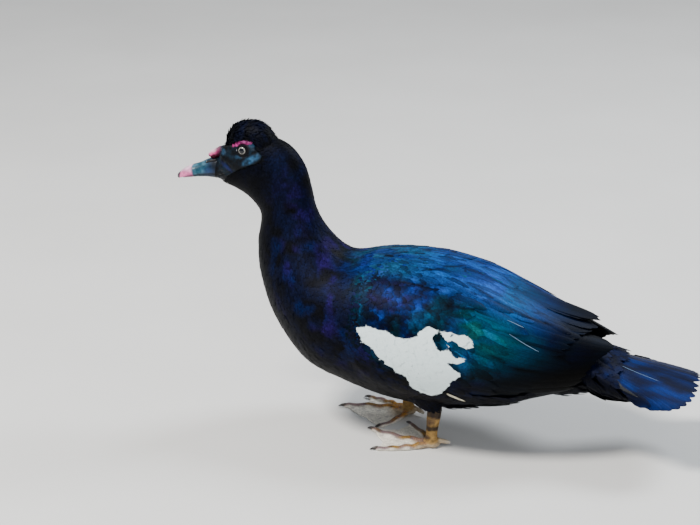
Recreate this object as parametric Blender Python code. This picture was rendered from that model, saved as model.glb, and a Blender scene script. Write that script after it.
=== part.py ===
"""A muscovy drake, life size, standing, as a still museum-style model.

Metres, +Z up. The bird faces -Y and its left side is +X. The origin is on the floor,
under the middle of its length and width. Each named piece of the body is one solid,
and neighbours are parted by thin cuts of about 0.3 mm.
"""

import math

import bmesh
import bpy
import numpy as np

# ----------------------------------------------------------------- driving sizes, in mm

GAP = 0.35  # width of the thin cuts between neighbours
BODY_SIDES = 26  # points round a body section
WING_THICK = 9.0  # folded wing, at its thickest
EYE_R = 7.6  # eyeball
EYE_AT = (17.4, -253.8, 376.6)  # left eyeball's centre
TARSUS_TOP = 48.0  # height of the hock above the floor
HEEL = {"left": (56.0, 12.0), "right": (-39.0, -42.0)}  # where each tarsus meets its foot
TOES = {  # each toe: degrees outwards from straight ahead at its root and at its tip, and its length
    "left": {"inner": (-64.0, -53.0, 72.0), "middle": (-5.0, -17.5, 92.0), "outer": (38.0, 24.0, 74.0)},
    "right": {"inner": (-80.0, -64.0, 63.0), "middle": (11.0, -1.5, 90.0), "outer": (41.0, 28.0, 72.0)},
}
TOE_WIDE = {"inner": 5.2, "middle": 6.4, "outer": 5.8}  # radius at the root

# Sections of the head, neck and trunk, from the bill's base to the tail's base. Each has the
# y and z of its dorsal point, the y and z of its ventral point, the half width, how far up
# from the belly it is widest, and the fullness of its sides (1 is an ellipse, less is squarer).
BODY = {
    "bill_base": (-290, 369, -294, 331, 14.0, 0.45, 0.90),
    "lore": (-283, 382, -285, 325, 18.5, 0.50, 0.92),
    "eye": (-267, 393, -269, 319, 23.0, 0.52, 0.92),
    "ear": (-246, 397, -254, 311, 26.0, 0.46, 0.95),
    "occiput": (-218, 392, -244, 302, 28.5, 0.44, 0.98),
    "nape": (-195, 381, -237, 292, 29.5, 0.46, 1.00),
    "neck_top": (-177, 358, -235, 282, 30.0, 0.48, 1.00),
    "neck_mid": (-168, 329, -237, 268, 31.0, 0.50, 1.00),
    "neck_low": (-160, 296, -240, 247, 35.0, 0.50, 1.00),
    "neck_base": (-142, 265, -236, 206, 50.0, 0.50, 0.98),
    "shoulder": (-114, 242, -215, 151, 71.0, 0.50, 0.95),
    "breast": (-77, 246, -170, 94, 91.0, 0.50, 0.94),
    "fore_trunk": (-40, 249, -113, 69, 101.0, 0.50, 0.94),
    "mid_trunk": (-2, 247, -46, 51, 106.0, 0.50, 0.94),
    "hind_trunk": (39, 237, 19, 47, 104.0, 0.50, 0.93),
    "loin": (88, 217, 88, 57, 93.0, 0.50, 0.93),
    "pelvis": (136, 193, 142, 69, 74.0, 0.50, 0.94),
    "rump": (176, 172, 184, 81, 53.0, 0.50, 0.96),
    "tail_root": (204, 154, 216, 90, 36.0, 0.50, 1.00),
}

# The hull on which both folded wings lie: y, top z, bottom z, half width.
WING_HULL = {
    "carpal": (-140, 232, 78, 80.0),
    "elbow": (-70, 248, 58, 106.0),
    "middle": (0, 249, 49, 114.0),
    "coverts": (60, 237, 50, 112.0),
    "tertials": (110, 217, 58, 102.0),
    "secondaries": (150, 199, 68, 88.0),
    "rear": (190, 182, 78, 70.0),
    "primaries": (222, 168, 92, 52.0),
    "tips": (248, 157, 110, 34.0),
}

# The folded wing on that hull, across its width from the lower edge to the upper one: where it
# starts, where it ends, and at the front and the back how far round the hull it lies (0 is the
# belly's line and 0.5 the back's).
WING_EDGE = {  # share of the way up: front y, rear y
    0.00: (-62, 196),
    0.15: (-92, 212),
    0.35: (-116, 222),
    0.60: (-122, 238),
    0.85: (-108, 246),
    1.00: (-84, 238),
}
WING_LOW = {-122: 0.205, -60: 0.160, 0: 0.142, 60: 0.128, 120: 0.118, 180: 0.128, 215: 0.170, 248: 0.270}
WING_HIGH = {-122: 0.400, -60: 0.455, 0: 0.474, 60: 0.482, 120: 0.484, 180: 0.480, 215: 0.474, 248: 0.440}

# Tail fan: y, middle z, half width, depth above and below the middle, droop of the sides.
TAIL = {
    "root": (176, 140, 30.0, 17.0, 38.0, 2.0),
    "coverts": (205, 134, 44.0, 14.0, 44.0, 5.0),
    "vent": (235, 127, 58.0, 10.0, 40.0, 10.0),
    "fan": (268, 120, 69.0, 6.0, 25.0, 14.0),
    "blade": (300, 114.5, 76.0, 3.6, 9.0, 16.0),
    "corner": (326, 109, 78.0, 2.2, 3.2, 15.0),
    "end": (343, 105.5, 65.0, 1.5, 1.9, 11.0),
    "tip": (352.4, 103.5, 32.0, 1.2, 1.4, 4.0),
}

# Upper half of the bill: y, culmen z, edge z, half width. The last is the nail.
BILL_UPPER = {
    "base": (-290.5, 361.0, 340.5, 14.2),
    "knob": (-300, 358.6, 339.8, 13.4),
    "nostril": (-309, 355.6, 338.6, 12.4),
    "saddle": (-320, 350.0, 337.0, 12.0),
    "spoon": (-333, 345.2, 334.2, 12.8),
    "nail": (-343, 340.2, 331.2, 11.6),
    "hook": (-348.8, 335.6, 328.6, 7.4),
    "tip": (-352.4, 331.4, 328.0, 2.6),
}
BILL_LOWER = {
    "base": (-291, 339.8, 331.0, 13.0),
    "mid": (-305, 338.6, 331.8, 11.0),
    "front": (-320, 336.4, 331.2, 10.4),
    "spoon": (-334, 333.6, 329.2, 10.0),
    "end": (-343, 330.8, 327.4, 6.5),
}

# The crest stands on the crown: y, top z, half width, depth from its top to its widest.
CREST = {
    "front": (-283.5, 384.0, 8.0, 8.0),
    "brow": (-277, 400.0, 14.5, 16.0),
    "crown": (-266, 409.0, 19.0, 21.0),
    "top": (-252, 412.8, 21.0, 23.0),
    "back": (-238, 411.5, 21.0, 23.0),
    "slope": (-226, 404.5, 18.0, 20.0),
    "nape": (-214.5, 389.0, 9.0, 9.0),
}

COLOURS = {  # base colour, roughness
    "plumage": ((0.010, 0.016, 0.045, 1), 0.45),
    "wing": ((0.010, 0.045, 0.110, 1), 0.40),
    "tail": ((0.008, 0.040, 0.120, 1), 0.40),
    "crest": ((0.008, 0.008, 0.022, 1), 0.55),
    "bill": ((0.050, 0.120, 0.160, 1), 0.35),
    "knob": ((0.480, 0.180, 0.240, 1), 0.45),
    "eye": ((0.250, 0.200, 0.120, 1), 0.08),
    "leg": ((0.300, 0.210, 0.080, 1), 0.55),
    "claw": ((0.060, 0.050, 0.050, 1), 0.40),
}

# ----------------------------------------------------------------- helpers


def table(rows):
    """A dict of rows as an array, in metres where the rows are in millimetres."""
    return np.array(list(rows.values()), float)


def along(rows, t):
    """Smooth curve through the rows at stations 0, 1, 2 ..., read at each t."""
    rows = np.asarray(rows, float)
    n = len(rows)
    t = np.clip(np.asarray(t, float), 0, n - 1)
    i = np.minimum(t.astype(int), n - 2)
    f = (t - i)[..., None]
    ends = np.vstack([2 * rows[0] - rows[1], rows, 2 * rows[-1] - rows[-2]])
    a, b, c, d = ends[i], ends[i + 1], ends[i + 2], ends[i + 3]
    return 0.5 * (
        2 * b
        + (c - a) * f
        + (2 * a - 5 * b + 4 * c - d) * f**2
        + (3 * b - 3 * c + d - a) * f**3
    )


def at(rows, x):
    """Rows whose first column rises or falls steadily, read where that column is x."""
    first = rows[:, 0]
    t = np.linspace(0, len(rows) - 1, 40 * len(rows))
    fine = along(rows, t)
    order = np.argsort(fine[:, 0])
    x = np.asarray(x, float)
    return np.stack(
        [np.interp(x, fine[order, 0], fine[order, k]) for k in range(rows.shape[1])], -1
    )


def smooth(a, b, x):
    t = np.clip((np.asarray(x, float) - a) / (b - a), 0, 1)
    return t * t * (3 - 2 * t)


def power(x, e):
    return np.sign(x) * np.abs(x) ** e


def body_point(u, v):
    """The body's outer form. u is the station, and v goes round from the belly up the left side."""
    s = along(table(BODY), u)
    phi = 2 * np.pi * np.asarray(v, float)
    p, q = power(np.sin(phi), s[..., 6]), -np.cos(phi)
    level = s[..., 5]
    share = np.where(q > 0, level + (1 - level) * q, level + level * q)
    x = s[..., 4] * p
    y = s[..., 2] + (s[..., 0] - s[..., 2]) * share
    z = s[..., 3] + (s[..., 1] - s[..., 3]) * share
    return np.stack([x, y, z], -1)


def hull_point(y, v):
    """The hull of the folded wings at length y, v of the way round."""
    s = at(table(WING_HULL), y)
    phi = 2 * np.pi * np.asarray(v, float)
    mid, half = (s[..., 1] + s[..., 2]) / 2, (s[..., 1] - s[..., 2]) / 2
    x = s[..., 3] * power(np.sin(phi), 0.92)
    return np.stack([x, np.asarray(y, float) + 0 * x, mid - half * np.cos(phi)], -1)


def from_pairs(pairs, x):
    keys = np.array(sorted(pairs))
    return np.interp(x, keys, np.array([pairs[k] for k in sorted(pairs)], float))


def wing_point(a, b, side):
    """The folded wing's outer face: a runs from front to rear, b from the lower edge to the upper one."""
    keys = sorted(WING_EDGE)
    edge = np.array([WING_EDGE[k] for k in keys], float)
    front = np.interp(b, keys, edge[:, 0])
    rear = np.interp(b, keys, edge[:, 1])
    y = front + (rear - front) * a
    low, high = from_pairs(WING_LOW, y), from_pairs(WING_HIGH, y)
    point = hull_point(y, low + (high - low) * b)
    return point * np.array([side, 1, 1])


def normals(points):
    """Unit normals of a grid of points, pointing along d/dj x d/di of its first two axes."""
    di, dj = np.gradient(points, axis=0), np.gradient(points, axis=1)
    n = np.cross(dj, di)
    return n / np.maximum(np.linalg.norm(n, axis=-1, keepdims=True), 1e-12)


def new_object(name, mesh, material):
    obj = bpy.data.objects.new(name, mesh)
    parts.objects.link(obj)
    mesh.materials.append(materials[material])
    return obj


def mesh_of(name, bm):
    bmesh.ops.recalc_face_normals(bm, faces=bm.faces)
    mesh = bpy.data.meshes.new(name)
    bm.to_mesh(mesh)
    bm.free()
    mesh.shade_smooth()
    return mesh


def loft(name, rings, material, closed=True):
    """A closed solid through rings of points in mm, with flat ends."""
    bm = bmesh.new()
    made = [[bm.verts.new(p * 0.001) for p in ring] for ring in rings]
    count = len(made[0])
    for one, two in zip(made, made[1:]):
        for k in range(count):
            m = (k + 1) % count
            bm.faces.new((one[k], one[m], two[m]))
            bm.faces.new((one[k], two[m], two[k]))
    bm.faces.new(list(reversed(made[0])))
    bm.faces.new(made[-1])
    return new_object(name, mesh_of(name, bm), material)


def patch(name, outer, inner, material):
    """A closed solid between two grids of points in mm: a piece that lies on a surface."""
    bm = bmesh.new()
    rows, cols = outer.shape[:2]
    top = [[bm.verts.new(p * 0.001) for p in row] for row in outer]
    low = [[bm.verts.new(p * 0.001) for p in row] for row in inner]
    for i in range(rows - 1):
        for j in range(cols - 1):
            bm.faces.new((top[i][j], top[i][j + 1], top[i + 1][j + 1]))
            bm.faces.new((top[i][j], top[i + 1][j + 1], top[i + 1][j]))
            bm.faces.new((low[i][j], low[i + 1][j + 1], low[i][j + 1]))
            bm.faces.new((low[i][j], low[i + 1][j], low[i + 1][j + 1]))
    rim = [(0, j) for j in range(cols)] + [(i, cols - 1) for i in range(1, rows)]
    rim += [(rows - 1, j) for j in range(cols - 2, -1, -1)]
    rim += [(i, 0) for i in range(rows - 2, 0, -1)]
    for (i, j), (m, n) in zip(rim, rim[1:] + rim[:1]):
        bm.faces.new((top[i][j], low[i][j], low[m][n], top[m][n]))
    return new_object(name, mesh_of(name, bm), material)


def tube(name, points, radii, material, sides=10, flat=1.0):
    """A tapering solid along a line of points in mm, wider than deep by 1 / flat."""
    points = np.asarray(points, float)
    way = np.gradient(points, axis=0)
    way /= np.linalg.norm(way, axis=1, keepdims=True)
    side = np.cross(way, (0, 0, 1)) if abs(way[0, 2]) < 0.9 else np.cross(way, (0, 1, 0))
    side /= np.linalg.norm(side, axis=1, keepdims=True)
    up = np.cross(side, way)
    phi = np.linspace(0, 2 * np.pi, sides, endpoint=False)
    rings = [
        p + r * (np.cos(phi)[:, None] * s + flat * np.sin(phi)[:, None] * u)
        for p, r, s, u in zip(points, radii, side, up)
    ]
    return loft(name, rings, material)


def boolean(obj, cutter, operation):
    """Applies a Boolean of cutter to obj, and keeps the cutter hidden among the cutters."""
    modifier = obj.modifiers.new(operation.lower(), "BOOLEAN")
    modifier.operation = operation
    modifier.solver = "EXACT"
    modifier.object = cutter
    cutter.hide_render = True
    cutter.display_type = "WIRE"
    for group in list(cutter.users_collection):
        group.objects.unlink(cutter)
    cutters.objects.link(cutter)
    return obj


def body_rings(u, grow=0.0, sides=BODY_SIDES):
    """Rings of the body at the stations u, grown outwards by grow."""
    v = np.arange(sides) / sides
    grid = body_point(np.asarray(u, float)[:, None], v[None, :])
    if grow:
        fine = np.concatenate([grid, grid[:, :1]], 1)
        n = normals(fine)[:, :-1]
        middle = grid.mean(1, keepdims=True)
        n *= np.sign((n * (grid - middle)).sum(-1, keepdims=True))
        grid = grid + n * grow
    return grid


def ellipsoid(name, centre, radii, material, turn=0.0, segments=14, rings=8):
    bm = bmesh.new()
    bmesh.ops.create_uvsphere(bm, u_segments=segments, v_segments=rings, radius=0.001)
    c, s = math.cos(math.radians(turn)), math.sin(math.radians(turn))
    for vert in bm.verts:
        x, y, z = (vert.co[k] * radii[k] for k in range(3))
        vert.co = (x, y * c - z * s, y * s + z * c)
        for k in range(3):
            vert.co[k] += centre[k] * 0.001
    return new_object(name, mesh_of(name, bm), material)


# ----------------------------------------------------------------- the scene's own things

for old in list(bpy.data.objects):
    bpy.data.objects.remove(old, do_unlink=True)
parts = bpy.data.collections.new("muscovy_duck")
cutters = bpy.data.collections.new("cutters")
cutters.hide_render = True
for group in (parts, cutters):
    bpy.context.scene.collection.children.link(group)

materials = {}
for label, (colour, rough) in COLOURS.items():
    made = bpy.data.materials.new(label)
    made.use_nodes = True
    shader = made.node_tree.nodes["Principled BSDF"]
    shader.inputs["Base Color"].default_value = colour
    shader.inputs["Roughness"].default_value = rough
    shader.inputs["Metallic"].default_value = 0.0
    made.diffuse_color = colour
    materials[label] = made

# ----------------------------------------------------------------- head, neck and trunk

# Each length of the body stops short of the next by a little more than the gap.
CUTS = {"head": (0.0, 4.6), "neck_upper": (4.6, 7.2), "neck_lower": (7.2, 9.3), "trunk": (9.3, 18.0)}
SHORT = 0.016
STEPS = {"head": 13, "neck_upper": 7, "neck_lower": 6, "trunk": 21}
lengths = {}
for name, (start, stop) in CUTS.items():
    u = np.linspace(start + (SHORT if start else 0), stop, STEPS[name])
    lengths[name] = loft(name, body_rings(u), "plumage")

# ----------------------------------------------------------------- folded wings

rows, cols = 19, 9
a = (1 - np.cos(np.linspace(0, np.pi, rows))) / 2 * 0.35 + np.linspace(0, 1, rows) * 0.65
b = np.linspace(0, 1, cols)


def wing_grids(side):
    """Outer and inner faces of a wing, and the unit normals of its outer face."""
    face = wing_point(a[:, None], b[None, :], side)
    n = normals(face)
    n *= np.sign((n * (face - np.array([0, 40, 150]))).sum(-1, keepdims=True))
    # the section is thick in the middle and thins to the edges and the rear
    across = np.maximum(np.sin(np.pi * b), 0)[None, :] ** 0.6
    length = (smooth(0, 0.12, a) * (1 - 0.72 * smooth(0.45, 1.0, a)))[:, None]
    thick = 1.6 + (WING_THICK - 1.6) * across * length
    return face, face - n * thick[..., None], n


def wing_cutter(face, inner, n):
    """Both faces moved apart and the rim moved outwards, to cut a bed a little larger than the wing."""
    out = [face + n * 14.0, inner - n * (GAP + 0.05)]
    for grid in out:
        for axis in (0, 1):
            way = np.gradient(face, axis=axis)
            way /= np.maximum(np.linalg.norm(way, axis=-1, keepdims=True), 1e-9)
            ends = np.zeros((rows, cols, 1))
            if axis:
                ends[:, 0], ends[:, -1] = -0.6, 0.6
            else:
                ends[0], ends[-1] = -0.6, 0.6
            grid += way * ends
    return out


wings = {}
for label, side in (("left", 1), ("right", -1)):
    face, inner, n = wing_grids(side)
    wings[label] = patch(f"wing_{label}", face, inner, "wing")
    bed = patch(f"cut_wing_{label}", *wing_cutter(face, inner, n), "wing")
    boolean(lengths["trunk"], bed, "DIFFERENCE")

# ----------------------------------------------------------------- tail

tail_rows = table(TAIL)
t = np.concatenate([np.linspace(0, 5, 8), np.linspace(5.4, 7, 5)])
section = along(tail_rows, t)
phi = np.linspace(0, 2 * np.pi, 20, endpoint=False)


def tail_rings(grow=0.0):
    rings = []
    for y, z, wide, above, below, droop in section:
        p, q = np.sin(phi), -np.cos(phi)
        p = power(p, 0.8)
        depth = np.where(q > 0, above, below) + grow
        rings.append(
            np.stack(
                [(wide + grow) * p, y + 0 * p, z + depth * power(q, 0.9) - droop * p**2], -1
            )
        )
    return rings


tail = loft("tail", tail_rings(), "tail")
tail_cut = tail_rings(GAP)
tail_cut[0] = tail_cut[0] - np.array([0, 0.5, 0])
boolean(lengths["trunk"], loft("cut_tail", tail_cut, "tail"), "DIFFERENCE")
for label in ("left", "right"):
    boolean(tail, bpy.data.objects[f"cut_wing_{label}"], "DIFFERENCE")

# ----------------------------------------------------------------- crest

rings = []
for y, top_z, wide, deep in along(table(CREST), np.linspace(0, 6, 13)):
    phi = np.linspace(0, 2 * np.pi, 16, endpoint=False)
    rings.append(np.stack([wide * np.sin(phi), y + 0 * phi, top_z - deep + deep * np.cos(phi)], -1))
crest = loft("crest", rings, "crest")
head_grown = loft("cut_head", body_rings(np.linspace(0, 4.6, STEPS["head"]), GAP), "plumage")
boolean(crest, head_grown, "DIFFERENCE")
neck_grown = loft("cut_neck", body_rings(np.linspace(4.6, 7.2, STEPS["neck_upper"]), GAP), "plumage")
boolean(crest, neck_grown, "DIFFERENCE")

# ----------------------------------------------------------------- bill and its knob


def bill_rings(rows, count, grow=0.0, sides=16):
    rings = []
    t = np.linspace(0, 1, count)
    t = (len(rows) - 1) * (0.55 * t + 0.45 * np.sin(t * np.pi / 2))
    for y, high, low, wide in along(table(rows), t):
        phi = np.linspace(0, 2 * np.pi, sides, endpoint=False)
        p, q = np.sin(phi), np.cos(phi)
        mid = low + (high - low) * 0.30
        up = power(np.maximum(q, 0), 0.9) * (high - mid + grow)
        down = np.maximum(-q, 0) ** 0.6 * (mid - low + grow)
        rings.append(np.stack([(wide + grow) * power(p, 0.85), y + 0 * p, mid + up - down], -1))
    return rings


bill_upper = loft("bill_upper", bill_rings(BILL_UPPER, 13), "bill")
bill_cut = bill_rings(BILL_UPPER, 13, GAP)
lower = loft("bill_lower", bill_rings(BILL_LOWER, 8, sides=12), "bill")
boolean(lower, loft("cut_bill", bill_cut, "bill"), "DIFFERENCE")

head = lengths["head"]
# the face ends in a plane, GAP behind the bill's base
bm = bmesh.new()
bmesh.ops.create_cube(bm, size=1.0)
for vert in bm.verts:
    vert.co = (vert.co.x * 0.2, -0.340 + vert.co.y * 0.0992, 0.335 + vert.co.z * 0.2)
face_plane = new_object("cut_face", mesh_of("cut_face", bm), "plumage")
boolean(head, face_plane, "DIFFERENCE")

knob = ellipsoid("knob", (0, -295.5, 366.2), (9.4, 15.0, 6.6), "knob", turn=26.0)
boolean(knob, bpy.data.objects["cut_bill"], "DIFFERENCE")
boolean(knob, head_grown, "DIFFERENCE")

# ----------------------------------------------------------------- eyes

for label, side in (("left", 1), ("right", -1)):
    centre = (EYE_AT[0] * side, EYE_AT[1], EYE_AT[2])
    ellipsoid(f"eye_{label}", centre, (EYE_R,) * 3, "eye", segments=12, rings=8)
    socket = ellipsoid(f"cut_eye_{label}", centre, (EYE_R + GAP,) * 3, "eye", segments=12, rings=8)
    boolean(head, socket, "DIFFERENCE")
    boolean(crest, socket, "DIFFERENCE")

# ----------------------------------------------------------------- legs and feet


def foot_height(r, theta, toes):
    """Top of the web and toes over the floor, at a distance and an angle from the heel."""
    top = 2.2 + 1.6 * np.exp(-((r / 30.0) ** 2))
    for toe, (root, tip, length) in toes.items():
        share = np.clip(r / length, 0, 1.2)
        far = np.radians(theta - root - (tip - root) * share) * np.maximum(r, 6.0)
        half = TOE_WIDE[toe] * (1.02 - 0.42 * share) * (1 + 0.10 * np.cos(share * 6 * np.pi))
        top = np.maximum(top, np.sqrt(np.maximum(1 - (far / half) ** 2, 0)) * half * 1.55)
    heel = 12.0 * np.clip(1 - (r / 14.0) ** 4, 0, 1) ** 0.5
    return np.maximum(top, heel)


def foot_reach(theta, toes):
    """How far the foot reaches from the heel in each direction; the web's edge is scooped between the toes."""
    (inner_root, inner, inner_len), (_, middle, middle_len), (outer_root, outer, outer_len) = toes.values()
    halfway = [(inner + middle) / 2, (middle + outer) / 2]
    between = np.interp(theta, [inner, halfway[0], middle, halfway[1], outer], [0, 1, 0, 1, 0])
    reach = np.interp(theta, [inner, middle, outer], [inner_len, middle_len, outer_len])
    reach = reach * (1 - 0.17 * between**0.8)
    for sign, root, tip, length in ((-1, inner_root, inner, inner_len), (1, outer_root, outer, outer_len)):
        out = np.maximum((theta - tip) * sign, 0)
        edge = 10.5 + 5.0 * np.exp(-((out / 40.0) ** 2))
        edge = edge + (length - edge) * np.exp(-((out / 4.6) ** 2))
        along_toe = length * (1 - (out - 5.0) / abs(root - tip))
        reach = np.where(out > 0, np.maximum(edge, np.minimum(along_toe, length * 0.93)), reach)
    return reach


def foot_grid(toes):
    low, high = toes["inner"][1], toes["outer"][1]
    spread = np.concatenate(
        [
            np.linspace(-180, low - 30, 5)[:-1],
            np.linspace(low - 30, low, 7)[:-1],
            np.linspace(low, high, 25),
            np.linspace(high, high + 30, 7)[1:],
            np.linspace(high + 30, 180, 5)[1:-1],
        ]
    )
    share = np.array([0.17, 0.35, 0.55, 0.75, 0.92, 1.0])
    r = share[:, None] * foot_reach(spread, toes)[None, :]
    top = foot_height(r, spread[None, :] + 0 * r, toes)
    top[-1] = 1.3
    top[-2] = np.minimum(top[-2], 0.5 * (top[-3] + 1.3) + 1.2)
    return spread, r, top


for label, side in (("left", 1), ("right", -1)):
    toes = TOES[label]
    spread, r, top = foot_grid(toes)
    # a foot points to -Y, and the inner toe lies towards the other foot
    angle = np.radians(spread) * side
    x, y = np.sin(angle)[None, :] * r, -np.cos(angle)[None, :] * r
    place = np.array([HEEL[label][0], HEEL[label][1], 0.0])
    upper = np.stack([x, y, top], -1) + place
    lower_rim = np.stack([x[-1], y[-1], 0 * top[-1]], -1) + place
    bm = bmesh.new()
    centre_top = bm.verts.new((place + np.array([0, 0, 12.0])) * 0.001)
    tops = [[bm.verts.new(p * 0.001) for p in row] for row in upper]
    lows = [bm.verts.new(p * 0.001) for p in lower_rim]
    count = len(spread)
    for k in range(count):
        m = (k + 1) % count
        bm.faces.new((centre_top, tops[0][k], tops[0][m]))
        for i in range(len(tops) - 1):
            bm.faces.new((tops[i][k], tops[i + 1][k], tops[i + 1][m], tops[i][m]))
        bm.faces.new((tops[-1][k], lows[k], lows[m], tops[-1][m]))
    bm.faces.new(lows[::-1])
    new_object(f"foot_{label}", mesh_of(f"foot_{label}", bm), "leg")

    for toe, (root, tip, length) in toes.items():
        turn, ahead = math.radians(tip) * side, math.radians(tip * 1.6 - root * 0.6) * side
        start = place + np.array([math.sin(turn), -math.cos(turn), 0]) * (length + 0.1 + GAP)
        way_ = np.array([math.sin(ahead), -math.cos(ahead), 0])
        line = [
            start + way_ * k * 8.5 + np.array([0, 0, 3.1 - 2.0 * k**1.6]) for k in np.linspace(0, 1, 4)
        ]
        tube(f"claw_{label}_{toe}", line, [2.3, 2.0, 1.5, 0.8], "claw", sides=7)

    # hind toe, small and held just clear of the floor
    back = place + np.array(
        [[-2.0 * side, 11.6, 9.0], [-3.6 * side, 16.0, 8.0], [-5.4 * side, 21.0, 6.2], [-6.6 * side, 25.5, 3.9]]
    )
    tube(f"toe_hind_{label}", back, [3.3, 3.4, 2.7, 1.3], "leg", sides=7)

    # tarsus, from the foot up to the hock
    hx, hy = HEEL[label]
    foot_top, lean_ = 12.0 + GAP, 3.5
    line = np.array([[hx + 0.5 * side * k, hy - 0.5 + lean_ * k**1.3, foot_top + (TARSUS_TOP - foot_top) * k] for k in np.linspace(0, 1, 6)])
    deep = np.array([8.4, 8.2, 8.3, 8.9, 9.9, 10.2])
    rings = []
    for p, d in zip(line, deep):
        phi_ = np.linspace(0, 2 * np.pi, 12, endpoint=False)
        rings.append(np.stack([p[0] + 0.74 * d * np.cos(phi_), p[1] + d * np.sin(phi_), p[2] + 0 * phi_], -1))
    tube_name = f"tarsus_{label}"
    loft(tube_name, rings, "leg")

    # feathered shank, from the hock up into the belly's feathers
    top_of = line[-1]
    rings = []
    for k in np.linspace(0, 1, 7):
        c_ = top_of + np.array([-4.0 * side * k, -26.0 * k, GAP + 40.0 * k])
        grow_ = smooth(0, 1, k)
        dx, dy = 9.6 + 20 * grow_, 12.5 + 26 * grow_
        phi_ = np.linspace(0, 2 * np.pi, 14, endpoint=False)
        rings.append(np.stack([c_[0] + dx * np.cos(phi_), c_[1] + dy * np.sin(phi_), c_[2] + 0 * phi_], -1))
    shank = loft(f"shank_{label}", rings, "plumage")
    if label == "left":
        trunk_grown = loft("cut_trunk", body_rings(np.linspace(9.3, 18, STEPS["trunk"]), GAP), "plumage")
    boolean(shank, trunk_grown, "DIFFERENCE")

bpy.context.view_layer.update()
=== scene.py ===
"""Looks of a life-size muscovy duck, standing: one skin, eyes, bill and claws, and a coat of solid feathers.

Lengths here are millimetres, in the solids' own frame, and meshes are written in metres.
The duck looks to -Y, its left side is +X, and the floor is z = 0.
"""

import math

import bpy
import numpy as np
from mathutils import Matrix, Vector
from mathutils.bvhtree import BVHTree


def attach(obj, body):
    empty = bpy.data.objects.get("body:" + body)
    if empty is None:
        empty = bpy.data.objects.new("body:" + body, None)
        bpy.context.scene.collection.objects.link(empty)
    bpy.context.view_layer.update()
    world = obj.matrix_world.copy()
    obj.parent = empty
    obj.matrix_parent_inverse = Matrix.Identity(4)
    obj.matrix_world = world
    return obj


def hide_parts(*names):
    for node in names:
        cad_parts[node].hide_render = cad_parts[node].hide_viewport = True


MM = 0.001
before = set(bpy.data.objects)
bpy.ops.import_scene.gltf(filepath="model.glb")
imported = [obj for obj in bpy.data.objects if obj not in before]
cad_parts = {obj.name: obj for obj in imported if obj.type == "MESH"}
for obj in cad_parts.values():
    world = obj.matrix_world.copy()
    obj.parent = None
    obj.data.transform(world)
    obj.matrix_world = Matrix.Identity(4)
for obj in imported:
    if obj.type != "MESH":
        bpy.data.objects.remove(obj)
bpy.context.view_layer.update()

# ------------------------------------------------------- the duck's own sizes
# dorsal y, z, ventral y, z, half width, level of the widest place, fullness
BODY = [
    (-297.5, 363.5, -299, 330.5, 14.3, 0.45, 0.90),
    (-290, 369, -294, 331, 14.9, 0.45, 0.90),
    (-283, 382, -285, 325, 18.5, 0.50, 0.92),
    (-267, 393, -269, 319, 23.0, 0.52, 0.92),
    (-246, 397, -254, 311, 26.0, 0.46, 0.95),
    (-218, 392, -244, 302, 28.5, 0.44, 0.98),
    (-195, 381, -237, 292, 29.5, 0.46, 1.00),
    (-177, 358, -235, 282, 30.0, 0.48, 1.00),
    (-168, 329, -237, 268, 31.0, 0.50, 1.00),
    (-160, 296, -240, 247, 35.0, 0.50, 1.00),
    (-142, 265, -236, 206, 50.0, 0.50, 0.98),
    (-114, 242, -215, 151, 71.0, 0.50, 0.95),
    (-77, 246, -170, 94, 91.0, 0.50, 0.94),
    (-40, 249, -113, 69, 101.0, 0.50, 0.94),
    (-2, 247, -46, 51, 106.0, 0.50, 0.94),
    (39, 237, 19, 47, 104.0, 0.50, 0.93),
    (88, 217, 88, 57, 93.0, 0.50, 0.93),
    (136, 193, 142, 69, 74.0, 0.50, 0.94),
    (176, 172, 184, 81, 53.0, 0.50, 0.96),
    (204, 154, 216, 88, 38.0, 0.50, 1.00),
    (235, 141.5, 246, 83, 44.0, 0.55, 1.00),
    (266, 130.0, 276, 88, 52.0, 0.62, 1.00),
    (298, 120.5, 304, 99, 56.0, 0.70, 1.00),
]
FIRST = 1.0  # row of the bill's base; the row before it laps onto the bill
WING_HULL = [
    (-140, 232, 78, 80),
    (-70, 248, 58, 106),
    (0, 249, 49, 114),
    (60, 237, 50, 112),
    (110, 217, 58, 102),
    (150, 199, 68, 88),
    (190, 182, 78, 70),
    (222, 168, 92, 52),
    (248, 157, 110, 34),
]
WING_FRONT = [(0.0, -62), (0.15, -92), (0.35, -116), (0.60, -122), (0.85, -108), (1.0, -84)]
WING_LOW = [(-122, 0.205), (-60, 0.160), (0, 0.142), (60, 0.128), (120, 0.118), (180, 0.128), (215, 0.170), (248, 0.270)]
WING_HIGH = [(-122, 0.400), (-60, 0.455), (0, 0.474), (60, 0.482), (120, 0.484), (180, 0.480), (215, 0.474), (248, 0.440)]
TAIL = [
    (176, 140, 30, 17, 38),
    (205, 134, 44, 14, 44),
    (235, 127, 58, 10, 40),
    (268, 120, 69, 6, 25),
    (300, 114.5, 76, 3.6, 9),
    (326, 109, 78, 2.2, 3.2),
    (343, 105.5, 78, 1.5, 1.9),
    (356, 102.5, 78, 1.2, 1.4),
]
CREST = [
    (-283.5, 384, 8, 8),
    (-277, 400, 14.5, 16),
    (-266, 409, 19, 21),
    (-252, 412.8, 21, 23),
    (-238, 411.5, 21, 23),
    (-226, 404.5, 18, 20),
    (-214.5, 389, 9, 9),
]
BILL_UPPER = [
    (-290.5, 361, 340.5, 14.2),
    (-300, 358.6, 339.8, 13.4),
    (-309, 355.6, 338.6, 12.4),
    (-320, 350, 337, 12.0),
    (-333, 345.2, 334.2, 12.8),
    (-343, 340.2, 331.2, 11.6),
    (-348.8, 335.6, 328.6, 7.4),
    (-352.4, 331.4, 328.0, 2.6),
]
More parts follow.
